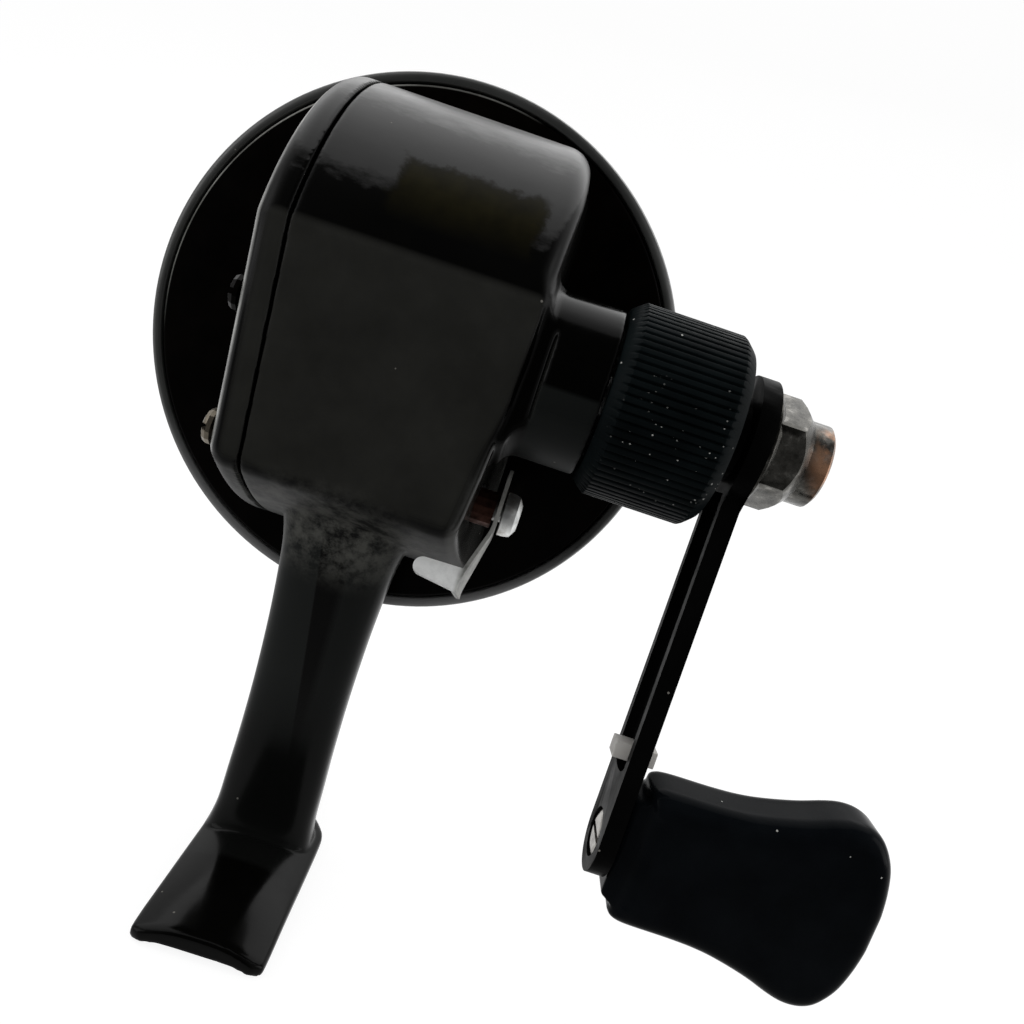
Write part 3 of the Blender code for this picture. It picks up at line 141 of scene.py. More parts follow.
# Boss, stem and foot
crank_behind = 16.5 * mm
crank_above = 3.2 * mm
boss_radius = 10.1 * mm
boss_end = 25.0 * mm
boss_flare = 1.6 * mm
boss_flare_length = 1.8 * mm
boss_valley = 0.8 * mm
stem_side = 0.5 * mm
stem_width = 13.2 * mm
stem_depth = 7.4 * mm
stem_top_ahead = -13.2 * mm
stem_foot_ahead = -8.3 * mm
stem_bottom = -71.06 * mm
foot_behind = 33.6 * mm
foot_front = 17.2 * mm
foot_half = 8.1 * mm
foot_thick = 2.6 * mm
foot_edge_thick = 1.7 * mm
foot_arch = 0.9 * mm
seat_half = 2.6 * mm

# Drag knob
knob_start = 25.35 * mm
knob_end = 40.2 * mm
knob_radius = 11.8 * mm
knob_inner_radius = 10.6 * mm
knob_outer_radius = 10.7 * mm
knob_inner_chamfer = 1.6 * mm
knob_outer_chamfer = 1.4 * mm
knob_ridges = 76
knob_groove = 0.425 * mm
knob_lip = 0.15 * mm
knob_recess_radius = 9.0 * mm
knob_recess_depth = 6.0 * mm
shaft_bore = 2.8 * mm

# Crank arm
arm_inner = 42.3 * mm
arm_outer = 44.6 * mm
arm_web = 1.1 * mm
arm_half = 4.6 * mm
arm_eye = 8.1 * mm
arm_end_radius = 4.9 * mm
arm_flange = 1.2 * mm
arm_reach = 51.5 * mm
arm_lean = math.radians(4.9)
arm_collar_radius = 5.2 * mm
arm_collar_start = 40.6 * mm
peg_up = 11.3 * mm
peg_side = 3.0 * mm
peg_height = 2.1 * mm
spindle_hole = 2.0 * mm
spindle_recess_radius = 3.1 * mm
spindle_recess = 1.3 * mm
channel_start = 0.8
channel_end = 0.4

# Anti-reverse lever
lever_plane = 18.45 * mm
lever_joggle = 2.1 * mm
lever_flare = 0.7 * mm
lever_thick = 0.5 * mm
lever_half = 1.5 * mm
lever_eye = 2.6 * mm
lever_tail = 3.0 * mm
lever_drop = 8.8 * mm
lever_back = 6.0 * mm
lever_tab = 5.2 * mm
lever_hole = 1.5 * mm
tab_low = 1.35 * mm
tab_high = 1.7 * mm
tab_end = 1.15 * mm
tab_lift = 0.45 * mm
tab_inset = 0.1 * mm

# Paddle
paddle_start = 46.6 * mm
paddle_end = 78.6 * mm
paddle_thick = 9.0 * mm
paddle_edge = 2.4 * mm
paddle_half = 12.8 * mm
paddle_bore = 2.0 * mm
paddle_bore_depth = 25.0 * mm
paddle_neck = ((-1.5 * mm, 2.8 * mm, 6.4 * mm), (2.0 * mm, 4.0 * mm, 8.0 * mm))
paddle_half_shares = ((0.0, 0.66), (0.06, 0.715), (0.26, 0.725), (0.38, 0.745), (0.48, 0.79),
                      (0.6, 0.87), (0.7, 0.96), (0.77, 1.0), (0.84, 0.985), (0.9, 0.9), (0.955, 0.7),
                      (0.985, 0.45), (1.0, 0.2))

# Masks of the enamel's marks and of its painted sheen, reflections and highlights, beside, ahead of or above the
# spool axis: where each is 0 and where it is 1
panel_level = (-box_rear + 0.32 * mm, -box_rear + 0.02 * mm)
panel_bottom = (-36 * mm, -28 * mm)
boss_edge = (17.8 * mm, 18.3 * mm)
# The boss below its middle, which takes a painted reflection
boss_reflection_band = (crank_above - 0.4 * mm, crank_above - 0.9 * mm)
bands_top = (-19 * mm, -27 * mm)
bands_bottom = (-56 * mm, -44 * mm)
stem_start = (-19 * mm, -18 * mm)
gloss_right = (2.0 * mm, 3.0 * mm)
roof_start = (8 * mm, 10 * mm)
roof_right = (17.6 * mm, 16.6 * mm)
# Where the roof's painted olive reflection lies
reflection_patch_left = (-4.5 * mm, -3.5 * mm)
reflection_patch_right = (13.0 * mm, 12.0 * mm)
reflection_patch_top = (22.0 * mm, 21.0 * mm)
# Where the painted highlight on the left edge and the painted reflection on the right wall lie
left_highlight_band = (-14 * mm, -15 * mm)
wall_top = (-5 * mm, -9 * mm)
wall_inner = (11.5 * mm, 12.5 * mm)
# Where the housing's painted reflection of the floor starts
floor_reflection_start = (-18 * mm, -30 * mm)
# Where the deck plate's painted highlight starts
plate_highlight_start = (26 * mm, 44 * mm)
# Where the lever's painted light on the tab starts
tab_light_start = (16.5 * mm, 15.8 * mm)

# The painted reflection patch's ragged edges, and the gloss band's slanting left edge
reflection_patch_wander = 3.5 * mm
gloss_top = -24.8 * mm
gloss_slope = 0.1
gloss_left = -1.3 * mm
gloss_fade = 0.12 * mm

# Places of wear and dust, from the crank axis
root_centre = Vector((-2, -4, -26)) * mm
root_beside = Vector((8, -2, -27)) * mm
nut_collar = Vector((53.5, -3, 1)) * mm
knob_dust = Vector((33, -11, -3)) * mm

# Tones of the enamel's painted sheen and reflections; the roof's painted reflection grows brighter with how far
# the roof faces up
# Painted sheen on the satin rear panel, and the painted reflection on the boss's lower part
panel_sheen_dark = (0.0168, 0.0168, 0.015)
panel_sheen_light = (0.026, 0.026, 0.0233)
boss_reflection_tone = (0.0092, 0.0104, 0.0099)
# Painted sheen in the stem's satin bands
stem_sheen_tone = (0.0145, 0.0158, 0.0152)
# The roof's painted olive reflection, and the strength of its pale painted reflection by how far it faces up
olive_reflection_dark = (0.001, 0.0009, 0.0004)
olive_reflection_light = (0.017, 0.0145, 0.0035)
roof_reflection_stops = ((0.48, 0), (0.55, 0.036), (0.8, 0.05), (0.92, 0.15), (0.98, 0.22))

# Lamps as place, width, height and radiance, in metres
lamps = {
    "top_light": ((-0.1, 0.5, 1.1), 2.4, 1.5, 1.05),
    "left_light": ((-0.9, -0.25, 0.3), 0.5, 0.8, 1.6),
    "right_light": ((0.9, -0.1, 0.35), 0.4, 0.8, 2.2),
}

# Stage in metres, its white floor, and the tones of its card and of the room
floor_near = -0.42
wall_start = 1.0
floor_bend = 0.5
backdrop_top = 1.3
floor_half = 2.5
white_floor = (-98.3 * mm, 1.7 * mm)
card_grey = 0.16
card_glow = 0.9
room_behind = 0.03
room_sides = 0.42
room_ahead = 0.86
room_light = 0.62
sides_from = (0.3, 0.62)
ahead_from = (0.0, 0.3)


# Nodes

def tone(value):
    """A grey's number or a colour, with its alpha; a socket stays as it is."""
    if isinstance(value, (int, float)):
        value = (value, value, value)
    return (*value, 1) if isinstance(value, tuple) else value


class Look:
    """Adds nodes to a material or a world; a value may be a number, a colour or a socket."""

    def __init__(self, owner):
        self.owner = owner
        owner.use_nodes = True
        self.tree = owner.node_tree
        self.tree.nodes.clear()

    def add(self, kind, inputs=(), **settings):
        """A new node with its settings, its inputs set or linked."""
        node = self.tree.nodes.new("ShaderNode" + kind)
        for name, value in settings.items():
            setattr(node, name, value)
        for key, value in dict(inputs).items():
            if isinstance(value, bpy.types.NodeSocket):
                self.tree.links.new(value, node.inputs[key])
            else:
                node.inputs[key].default_value = value
        return node

    def spot(self):
        return self.add("TexCoord").outputs["Object"]

    def along(self, letter):
        """How far the shaded point lies from the spool axis along X, Y or Z."""
        offset = self.add("VectorMath", {0: self.spot(), 1: reel_axis}, operation="SUBTRACT")
        return self.add("SeparateXYZ", {0: offset.outputs[0]}).outputs[letter]

    def facing(self, letter):
        """How far the surface faces along one of the axes, from -1 to 1."""
        normal = self.add("TexCoord").outputs["Normal"]
        return self.add("SeparateXYZ", {0: normal}).outputs[letter]

    def maths(self, operation, first, second=0.0):
        return self.add("Math", {0: first, 1: second}, operation=operation).outputs[0]

    def times(self, first, *others):
        for other in others:
            first = self.maths("MULTIPLY", first, other)
        return first

    def minus(self, first, second):
        return self.maths("SUBTRACT", first, second)

    def between(self, value, low, high):
        """A mask that runs from 0 at the first value to 1 at the second."""
        return self.add("MapRange", {"Value": value, "From Min": low, "From Max": high}).outputs[0]

    def band(self, letter, ends):
        """The same mask along an axis, its ends measured from the spool axis."""
        return self.between(self.along(letter), *ends)

    def near(self, centre, inner, outer, stretch=(1, 1, 1)):
        """A soft mask that is 1 at the first distance from a place and 0 at the second."""
        offset = self.add("VectorMath", {0: self.spot(), 1: centre}, operation="SUBTRACT")
        scaled = self.add("VectorMath", {0: offset.outputs[0], 1: stretch}, operation="MULTIPLY")
        length = self.add("VectorMath", {0: scaled.outputs[0]}, operation="LENGTH").outputs["Value"]
        return self.add("MapRange", {"Value": length, "From Min": outer, "From Max": inner},
                        interpolation_type="SMOOTHSTEP").outputs[0]

    def mix(self, factor, first, second, blend="MIX"):
        inputs = {0: factor, 6: tone(first), 7: tone(second)}
        return self.add("Mix", inputs, data_type="RGBA", blend_type=blend).outputs[2]

    def ramp(self, factor, *stops):
        """A colour ramp; each stop is a position and a tone."""
        node = self.add("ValToRGB", {"Fac": factor})
        points = node.color_ramp.elements
        while len(points) < len(stops):
            points.new(1.0)
        for point, (position, colour) in zip(points, stops):
            point.position = position
            point.color = tone(colour)
        return node.outputs["Color"]

    def noise(self, scale, detail=4.0, roughness=0.55, stretch=None):
        """Noise with its scale in features per metre; stretch scales the axes."""
        spot = self.spot()
        if stretch:
            spot = self.add("Mapping", {"Vector": spot, "Scale": stretch}).outputs[0]
        return self.add("TexNoise", {"Vector": spot, "Scale": scale, "Detail": detail,
                                     "Roughness": roughness}).outputs["Fac"]

    def cloudy(self, low, high, *noise):
        """Noise that runs from one tone to another."""
        return self.ramp(self.noise(*noise), (0.3, low), (0.75, high))

    def specks(self, scale, size, share):
        """Sparse round specks of dust: the mask is 1 inside a speck."""
        cells = self.add("TexVoronoi", {"Vector": self.spot(), "Scale": scale})
        parts = self.add("SeparateColor", {0: cells.outputs["Color"]})
        return self.times(self.maths("LESS_THAN", cells.outputs["Distance"], size),
                          self.maths("LESS_THAN", parts.outputs[0], share))

    def broken_highlight(self):
        """A painted highlight's strength, which comes and goes along an edge."""
        return self.ramp(self.noise(120, 5, 0.6), (0.35, 0.25), (0.6, 1))

    def surface(self, colour, rough, height, depth, strength, specular=0.5, metal=0.0):
        """Joins the shader to the output, bumped by a height, and returns the material."""
        bump = self.add("Bump", {"Height": height, "Distance": depth, "Strength": strength}).outputs[0]
        shader = self.add("BsdfPrincipled", {"Base Color": colour, "Roughness": rough, "Normal": bump,
                                             "Specular IOR Level": specular, "Metallic": metal})
        self.add("OutputMaterial", {"Surface": shader.outputs[0]})
        return self.owner


def new_look(name):
    return Look(bpy.data.materials.new(name))


# Materials

def panel_sheen_layer(look, colour, rough):
    """Satin on the flat rear panel, its paler colour a painted sheen, and a painted reflection as a paler tone on
    the boss below its middle.
    """
    boss = look.band("X", boss_edge)
    lower_boss_reflection = look.times(boss, look.band("Z", boss_reflection_band))
    panel_satin_and_sheen = look.times(look.band("Y", panel_level), look.band("Z", panel_bottom))
    panel_satin_and_sheen = look.minus(panel_satin_and_sheen, look.times(panel_satin_and_sheen, boss))
    # The panel's colour is a painted sheen; the boss below its middle gets a painted reflection
    panel_sheen_mottle = look.cloudy(panel_sheen_dark, panel_sheen_light, 140, 6, 0.62)
    colour = look.mix(panel_satin_and_sheen, look.mix(lower_boss_reflection, colour, boss_reflection_tone), panel_sheen_mottle)
    return colour, look.mix(panel_satin_and_sheen, rough, 0.32)


def stem_satin_and_sheen_layer(look, colour, rough):
    """Satin bands down the stem, on both sides of a gloss one that slants, and a paler stretch low down; the satin
    is real roughness, the bands' paler colour painted sheen.
    """
    shift = look.times(look.minus(gloss_top, look.along("Z")), gloss_slope)
    slanted = look.minus(look.along("X"), shift)
    left_band = look.between(slanted, gloss_left + gloss_fade, gloss_left - gloss_fade)
    right_band = look.times(look.band("X", gloss_right), 0.6)
    bands = look.times(look.maths("MAXIMUM", left_band, right_band), look.band("Z", bands_bottom))
    paler_low = look.times(look.band("Z", bands_bottom[::-1]), 0.22)
    # The bands' paler colour is a painted sheen; the stem is also paler low down
    satin_and_sheen = look.times(look.maths("ADD", bands, paler_low), look.band("Z", bands_top),
                       look.band("Y", stem_start))
    return look.mix(satin_and_sheen, colour, stem_sheen_tone), look.mix(satin_and_sheen, rough, 0.38)


def roof_reflection_layer(look, colour, rough):
    """A painted reflection on the roof, paler where it faces up, with a painted olive reflection in a patch whose
    edges are ragged.
    """
    facing = look.facing("Z")
    wander = look.minus(look.times(look.noise(240, 7, 0.68, (0.6, 1, 1.4)), 0.26), 0.13)
    # Painted reflection on the roof, and a painted olive reflection in the patch
    painted_roof_reflection = look.ramp(look.maths("ADD", facing, wander), *roof_reflection_stops)
    roof = look.times(look.band("Z", roof_start), look.band("X", roof_right))
    ragged = look.times(look.minus(look.noise(380, 6, 0.65), 0.5), reflection_patch_wander)
    side = look.maths("ADD", look.along("X"), ragged)
    up = look.minus(look.along("Z"), ragged)
    dark_reflection_patch = look.times(roof, look.between(side, *reflection_patch_left), look.between(side, *reflection_patch_right),
                       look.between(up, *reflection_patch_top))
    colour = look.mix(roof, colour, look.mix(1.0, colour, look.mix(dark_reflection_patch, painted_roof_reflection, 0), "ADD"))
    olive_reflection = look.mix(look.noise(300, 5, 0.65), olive_reflection_dark, olive_reflection_light)
    colour = look.mix(look.times(dark_reflection_patch, look.between(facing, 0.4, 0.55)), colour, olive_reflection)
    return colour, look.mix(roof, rough, 0.3)


def edge_highlight_layer(look, colour, rough):
    """A dull underside, a painted highlight along the left edge and a grey painted reflection on the right wall's
    rear part.
    """
    facing = look.facing("X")
    edge = look.times(look.between(facing, -0.66, -0.8), look.band("X", left_highlight_band))
    wall_reflection = look.times(look.between(facing, 0.3, 0.6), look.band("Z", wall_top), look.band("X", wall_inner))
    # Painted highlight on the left edge, painted reflection on the right wall
    colour = look.mix(look.times(edge, look.broken_highlight()), colour, (0.45, 0.45, 0.43))
    colour = look.mix(look.times(wall_reflection, look.broken_highlight()), colour, (0.05, 0.05, 0.047))
    return colour, look.mix(look.between(look.facing("Z"), -0.25, -0.5), rough, 0.5)


def root_layer(look, colour, rough):
    """The enamel worn to patchy grey where the stem meets the gearbox."""
    root = look.near(crank_axis + root_centre, 3 * mm, 12 * mm, (0.6, 0.8, 1.3))
    beside = look.near(crank_axis + root_beside, 1 * mm, 6 * mm)
    patchy = look.ramp(look.noise(420, 8, 0.7), (0.4, 0), (0.6, 1))
    worn = look.times(look.maths("MAXIMUM", root, beside), patchy)
    return look.mix(worn, colour, (0.11, 0.11, 0.1)), look.mix(worn, rough, 0.5)


def dusted(look, colour, rough, share, dust, strength, specular):
    """Enamel with faint waves and specks of dust."""
    speck = look.specks(700, 0.1, share)
    return look.surface(look.mix(speck, colour, dust), look.mix(speck, rough, 0.8), look.noise(900, 3),
                        0.02 * mm, strength, specular)


def casting_enamel():
    """Glossy black enamel under the five layers, with a little dust."""
    look = new_look("black_enamel")
    colour = look.cloudy((0.0007, 0.0007, 0.0006), (0.0018, 0.0018, 0.0016), 90, 5)
    rough = look.cloudy(0.12, 0.2, 260, 6, 0.65, (1, 1, 0.35))
    for layer in (panel_sheen_layer, stem_satin_and_sheen_layer, roof_reflection_layer, edge_highlight_layer, root_layer):
        colour, rough = layer(look, colour, rough)
    return dusted(look, colour, rough, 0.04, (0.16, 0.155, 0.14), 0.2, 0.08)


def enamel(name, dark, light, rough, dust, specular=0.5, floor_reflection_tone=None):
    """Plain enamel on a spun or drawn piece, painted lighter low down if asked, as a painted reflection of the
    floor.
    """
    look = new_look(name)
    colour = look.cloudy(dark, light, 90, 5)
    if floor_reflection_tone:
        # Painted reflection of the floor on the lower part
        colour = look.mix(look.band("Z", floor_reflection_start), colour, floor_reflection_tone)
    rough = look.cloudy(rough, rough * 1.7, 260, 6, 0.65)
    return dusted(look, colour, rough, dust, (0.2, 0.19, 0.17), 0.25, specular)


def plate_enamel():
    """Deep black enamel with brown marks, and a painted highlight on its rim at the upper left."""
    look = new_look("plate_enamel")
    colour = look.ramp(look.noise(110, 6, 0.65), (0.35, (0.0004, 0.0003, 0.0002)),
                       (0.75, (0.0025, 0.0017, 0.0013)))
    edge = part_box("rear_plate")[1][0] - reel_axis.x
    # A painted highlight along the rim's edge at the upper left
    ring = look.near(reel_axis, edge - 0.2 * mm, edge - 0.35 * mm, (1, 0, 1))
    upper_left = look.between(look.minus(look.along("Z"), look.along("X")), *plate_highlight_start)
    colour = look.mix(look.times(ring, upper_left, look.broken_highlight()), colour, (0.3, 0.3, 0.28))
    rough = look.cloudy(0.16, 0.28, 260, 6, 0.65)
    return look.surface(colour, rough, look.noise(900, 3), 0.02 * mm, 0.25, specular=0.05)


def marked(look, colour, smooth, dull, metal=1.0):
    """Metal with fine marks from its tool, its roughness between two values."""
    marks = look.noise(1400, 3, 0.6)
    rough = look.ramp(marks, (0.3, smooth), (0.7, dull))
    return look.surface(colour, rough, marks, 0.01 * mm, 0.4, metal=metal)


def plated(name, dark, light, rough):
    """Bright plated metal with darker stains."""
    look = new_look(name)
    colour = look.ramp(look.noise(330, 7, 0.62), (0.36, dark), (0.56, light))
    return marked(look, colour, rough, rough * 1.8)


def lever_zinc():
    """Zinc plate, with painted light making its tab lighter and painted shade making the lever's arm darker."""
    look = new_look("lever_zinc")
    stains = look.noise(330, 7, 0.62)
    tab = look.ramp(stains, (0.36, (0.72, 0.73, 0.72)), (0.56, (0.95, 0.96, 0.95)))
    arm = look.ramp(stains, (0.36, (0.15, 0.15, 0.14)), (0.56, (0.34, 0.34, 0.32)))
    # Painted light on the tab, painted shade along the arm
    colour = look.mix(look.band("X", tab_light_start), arm, tab)
    return marked(look, colour, 0.34, 0.5, 0.2)


def stained_nut():
    """The cap nut's nickel: dull dark flats, copper showing where the round collar is rubbed."""
    look = new_look("stained_nickel")
    stains = look.noise(420, 8, 0.66)
    colour = look.ramp(stains, (0.36, (0.028, 0.027, 0.024)), (0.54, (0.09, 0.087, 0.079)),
                       (0.7, (0.3, 0.29, 0.27)))
    blush = look.ramp(look.noise(260, 5, 0.6), (0.42, 0), (0.55, 1))
    rubbed = look.times(look.near(crank_axis + nut_collar, 3.2 * mm, 5.6 * mm), blush)
    colour = look.mix(rubbed, colour, (0.46, 0.25, 0.15))
    rough = look.ramp(look.noise(1400, 3, 0.6), (0.3, 0.16), (0.7, 0.34))
    return look.surface(colour, rough, stains, 0.03 * mm, 0.5, metal=1.0)


def moulded(name, dark, light, rough, dust, specular=0.4, dusty=None):
    """Moulded plastic with a fine grain and dust on it, thicker near one place."""
    look = new_look(name)
    colour = look.cloudy(dark, light, 160, 5)
    speck = look.specks(1100, 0.14, dust)
    if dusty:
        thick = look.times(look.near(dusty, 3 * mm, 9 * mm), look.specks(1700, 0.18, 0.2))
        speck = look.maths("ADD", speck, thick)
    colour = look.mix(speck, colour, (0.42, 0.42, 0.4))
    rough = look.cloudy(rough, rough * 1.5, 380, 6, 0.6)
    return look.surface(colour, rough, look.noise(2600, 2), 0.015 * mm, 0.4, specular)


materials = {
    "black_paint": casting_enamel(),
    "plate_paint": plate_enamel(),
    "housing_paint": enamel("housing_enamel", (0.022, 0.023, 0.022), (0.04, 0.041, 0.039), 0.26, 0.04,
                            floor_reflection_tone=0.15),
    "black_plastic": moulded("satin_plastic", (0.0022, 0.0034, 0.0038), (0.005, 0.0078, 0.0086), 0.36, 0.1,
                             specular=0.03, dusty=crank_axis + knob_dust),
    "gloss_plastic": moulded("gloss_plastic", (0.0022, 0.0028, 0.0036), (0.0045, 0.0055, 0.0068), 0.14,
                             0.02, specular=0.02),
    "nickel": plated("nickel_plate", (0.16, 0.15, 0.135), (0.4, 0.385, 0.36), 0.24),
    "zinc": plated("zinc_plate", (0.3, 0.27, 0.24), (0.72, 0.73, 0.72), 0.32),
    "steel": plated("turned_steel", 0.38, 0.55, 0.28),
    "brass": plated("turned_brass", (0.45, 0.3, 0.12), (0.62, 0.45, 0.22), 0.3),
    "bronze": plated("bronze_bush", (0.02, 0.009, 0.007), (0.085, 0.04, 0.03), 0.42),
    "felt": moulded("oiled_felt", (0.1, 0.085, 0.06), (0.2, 0.17, 0.13), 0.9, 0),
    "nylon": moulded("white_nylon", (0.55, 0.53, 0.5), (0.72, 0.7, 0.67), 0.45, 0),
    "chrome": plated("chrome_plate", (0.62, 0.62, 0.63), (0.8, 0.8, 0.81), 0.08),
}
nut_metal = stained_nut()
arm_enamel = enamel("arm_enamel", 0.0012, 0.0026, 0.3, 0.03, 0.02)
screw_metal = plated("dull_nickel", (0.03, 0.026, 0.02), (0.16, 0.14, 0.11), 0.3)
slots = {part["node"]: part["material_slot"] for part in frame["record"]["subparts"]}
bodies = {node: body for body, nodes in frame["record"]["behaviour"]["bodies"].items() for node in nodes}


def frame_look(node):
    """The look of a node that stays; a cover screw above the axis takes the deck plate's enamel."""
    if not node.startswith("side_cover_screw"):
        return materials[slots[node]]
    return materials["plate_paint"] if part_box(node)[1][2] > reel_axis.z else screw_metal


for node, piece in frame["nodes"].items():
    piece.data.materials.clear()
    piece.data.materials.append(frame_look(node))


# Mesh helpers

def stand_for(piece, *nodes, own=None):
    """The piece takes the place and the body of the nodes, and their material or one of its own."""
    piece.data.materials.clear()
    piece.data.materials.append(own or materials[slots[nodes[0]]])
    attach(piece, bodies[nodes[0]])
    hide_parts(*nodes)


def shade(mesh, angle=sharp_angle):
    """Smooth shading that keeps edges sharper than the angle."""
    for face in mesh.polygons:
        face.use_smooth = True
    mesh.set_sharp_from_angle(angle=math.radians(angle))


def linked(name, data):
    """A new object in the scene."""
    piece = bpy.data.objects.new(name, data)
    bpy.context.scene.collection.objects.link(piece)
    return piece


def piece_from(form, name, angle=sharp_angle):
    mesh = bpy.data.meshes.new(name)
    form.to_mesh(mesh)
    form.free()
    shade(mesh, angle)
    return linked(name, mesh)


def drop(piece):
    """Takes a helper object and its mesh out of the scene."""
    mesh = piece.data
    bpy.data.objects.remove(piece)
    bpy.data.meshes.remove(mesh)


def welded(mesh, merge_flats=False):
    """The mesh as one bmesh with its doubled points joined, and its flat faces merged if asked."""
    form = bmesh.new()
    form.from_mesh(mesh)
    bmesh.ops.remove_doubles(form, verts=form.verts, dist=weld_reach)
    if merge_flats:
        bmesh.ops.dissolve_limit(form, angle_limit=math.radians(1), verts=form.verts, edges=form.edges)
    return form


def node_form(node, merge_flats=False):
    return welded(frame["nodes"][node].data, merge_flats)


def settle(piece):
    """Applies the piece's modifiers to its mesh."""
    graph = bpy.context.evaluated_depsgraph_get()
    mesh = bpy.data.meshes.new_from_object(piece.evaluated_get(graph))
    piece.modifiers.clear()
    piece.data = mesh
    return mesh


def remeshed(piece, voxel, smoothing):
    """Turns the piece into an even skin of small faces, with softened corners."""
    remesh = piece.modifiers.new("voxels", "REMESH")
    remesh.voxel_size = voxel
    smooth = piece.modifiers.new("smooth", "SMOOTH")
    smooth.iterations = smoothing
    shade(settle(piece), all_smooth)
    return piece


def combine(piece, operation, *tools):
    """Joins the tools to the piece, or cuts them from it, and drops them."""
    for tool in tools:
        boolean = piece.modifiers.new("tool", "BOOLEAN")
        boolean.operation = operation
        boolean.object = tool
    settle(piece)
    for tool in tools:
        drop(tool)


def cut(piece, *tools):
    combine(piece, "DIFFERENCE", *tools)


def fitted_copy(name, node, skin):
    """The node as an even skin whose outside is drawn onto a finer form; the skin is dropped."""
    piece = remeshed(piece_from(node_form(node), name), cast_voxel, cast_smoothing)
    tree = BVHTree.FromObject(skin, bpy.context.evaluated_depsgraph_get())
    vertices = piece.data.vertices
    places = [(vertex.co.copy(), vertex.normal.copy()) for vertex in vertices]
    for vertex, (here, way) in zip(vertices, places):
        spot, normal = tree.find_nearest(here, skin_reach)[:2]
        if spot and normal.dot(way) > skin_agreement:
            vertex.co = spot
    drop(skin)
    shade(piece.data, all_smooth)
    stand_for(piece, node)


def round_edges(piece, width):
    bevel = piece.modifiers.new("edges", "BEVEL")
    bevel.width = width
    bevel.segments = edge_segments
    shade(settle(piece), bevelled_angle)


def edged_copy(name, node, own=None):
    """The node with its sharp edges rounded."""
    piece = piece_from(node_form(node, True), name)
    round_edges(piece, nut_round)
    stand_for(piece, node, own=own)


def meridian(node, centre, axis):
    """The outline of a turned node, as (radius, along) points in order, and whether it is closed."""
    form = node_form(node)
    across = axis.orthogonal().normalized()
    up = axis.cross(across)

    def polar(point):
        offset = point - centre
        return (math.hypot(offset.dot(across), offset.dot(up)), offset.dot(axis),
                math.atan2(offset.dot(up), offset.dot(across)))

    def key(point):
        return (round(point[0] / mm, 3), round(point[1] / mm, 3))

    lines = {}
    for edge in form.edges:
        first, second = (polar(vertex.co) for vertex in edge.verts)
        if abs(first[2] - second[2]) < same_angle:
            lines.setdefault(round(first[2], 2), []).append((first[:2], second[:2]))
    form.free()
    edges = max(lines.values(), key=len)
    links = {}
    for first, second in edges:
        links.setdefault(key(first), []).append(second)
        links.setdefault(key(second), []).append(first)
    places = {key(point): point for edge in edges for point in edge}
    ends = [name for name, others in links.items() if len(others) == 1]
    start = min(ends, key=lambda name: name[0]) if ends else next(iter(links))
    order, last, here = [places[start]], None, start
    while True:
        ways = [key(other) for other in links[here] if key(other) != last]
        if not ways or ways[0] == start:
            break
        last, here = here, ways[0]
        order.append(places[here])
    return order, not ends


def rounded(points, closed, radius):
    """The outline with its corners rounded, each by a curve within the corner's own lines."""
    result = []
    count = len(points)
    for index, here in enumerate(points):
        if not closed and index in (0, count - 1):
            result.append(here)
            continue
        before, after = Vector(points[index - 1]), Vector(points[(index + 1) % count])
        here = Vector(here)
        back, on = before - here, after - here
        turn = back.angle(on)
        shorter = min(back.length, on.length)
        if shorter < short_line:
            result.append(tuple(here))
            continue
        reach = shorter * corner_share
        if turn <= nearly_straight:
            reach = min(radius / math.tan(turn / 2), reach)
        start, end = here + back.normalized() * reach, here + on.normalized() * reach
        for step in range(corner_steps + 1):
            share = step / corner_steps
            result.append(tuple(start.lerp(here, share).lerp(here.lerp(end, share), share)))
    return result


def spun(name, outline, closed, centre, axis, steps=turn_steps):
    """An outline of (radius, along) points turned about an axis; an open one ends on the axis."""
    across = axis.orthogonal().normalized()
    form = bmesh.new()
    points = [form.verts.new(centre + axis * along + across * distance) for distance, along in outline]
    if not closed:
        points.insert(0, form.verts.new(centre + axis * outline[0][1]))
        points.append(form.verts.new(centre + axis * outline[-1][1]))
    loop = points + points[:1] if closed else points
    edges = [form.edges.new((first, second)) for first, second in zip(loop, loop[1:])]
    bmesh.ops.spin(form, geom=points + edges, cent=centre, axis=axis, angle=2 * math.pi, steps=steps)
    bmesh.ops.remove_doubles(form, verts=form.verts, dist=2 * weld_reach)
    bmesh.ops.recalc_face_normals(form, faces=form.faces)
    return piece_from(form, name, turned_angle)


def turned_copy(name, node, centre=reel_axis, axis=ahead_way, radius=edge_round, steps=turn_steps):
    """The turned node spun again, finer and with rounded corners."""
    outline, closed = meridian(node, centre, axis)
    stand_for(spun(name, rounded(outline, closed, radius), closed, centre, axis, steps), node)


def lofted(name, rings):
    """A closed form over a list of rings with as many points each."""
    form = bmesh.new()
    loops = [[form.verts.new(point) for point in ring] for ring in rings]
    count = len(loops[0])
    for lower, upper in zip(loops, loops[1:]):
        for index in range(count):
            after = (index + 1) % count
            form.faces.new((lower[index], lower[after], upper[after], upper[index]))
    for loop in (loops[0][::-1], loops[-1]):
        middle = form.verts.new(sum((vertex.co for vertex in loop), Vector()) / count)
        for index in range(count):
            form.faces.new((loop[index], loop[(index + 1) % count], middle))
    bmesh.ops.recalc_face_normals(form, faces=form.faces)
    return piece_from(form, name)


def slab(name, where, outline, *sides):
    """A flat form between two sides, with its outline as (ahead, up) points."""
    return lofted(name, [[where(side, ahead, up) for ahead, up in outline] for side in sides])


def joined(name, *parts):
    """One object from several; the parts are dropped."""
    form = bmesh.new()
    for part in parts:
        form.from_mesh(part.data)
        drop(part)
    return piece_from(form, name)


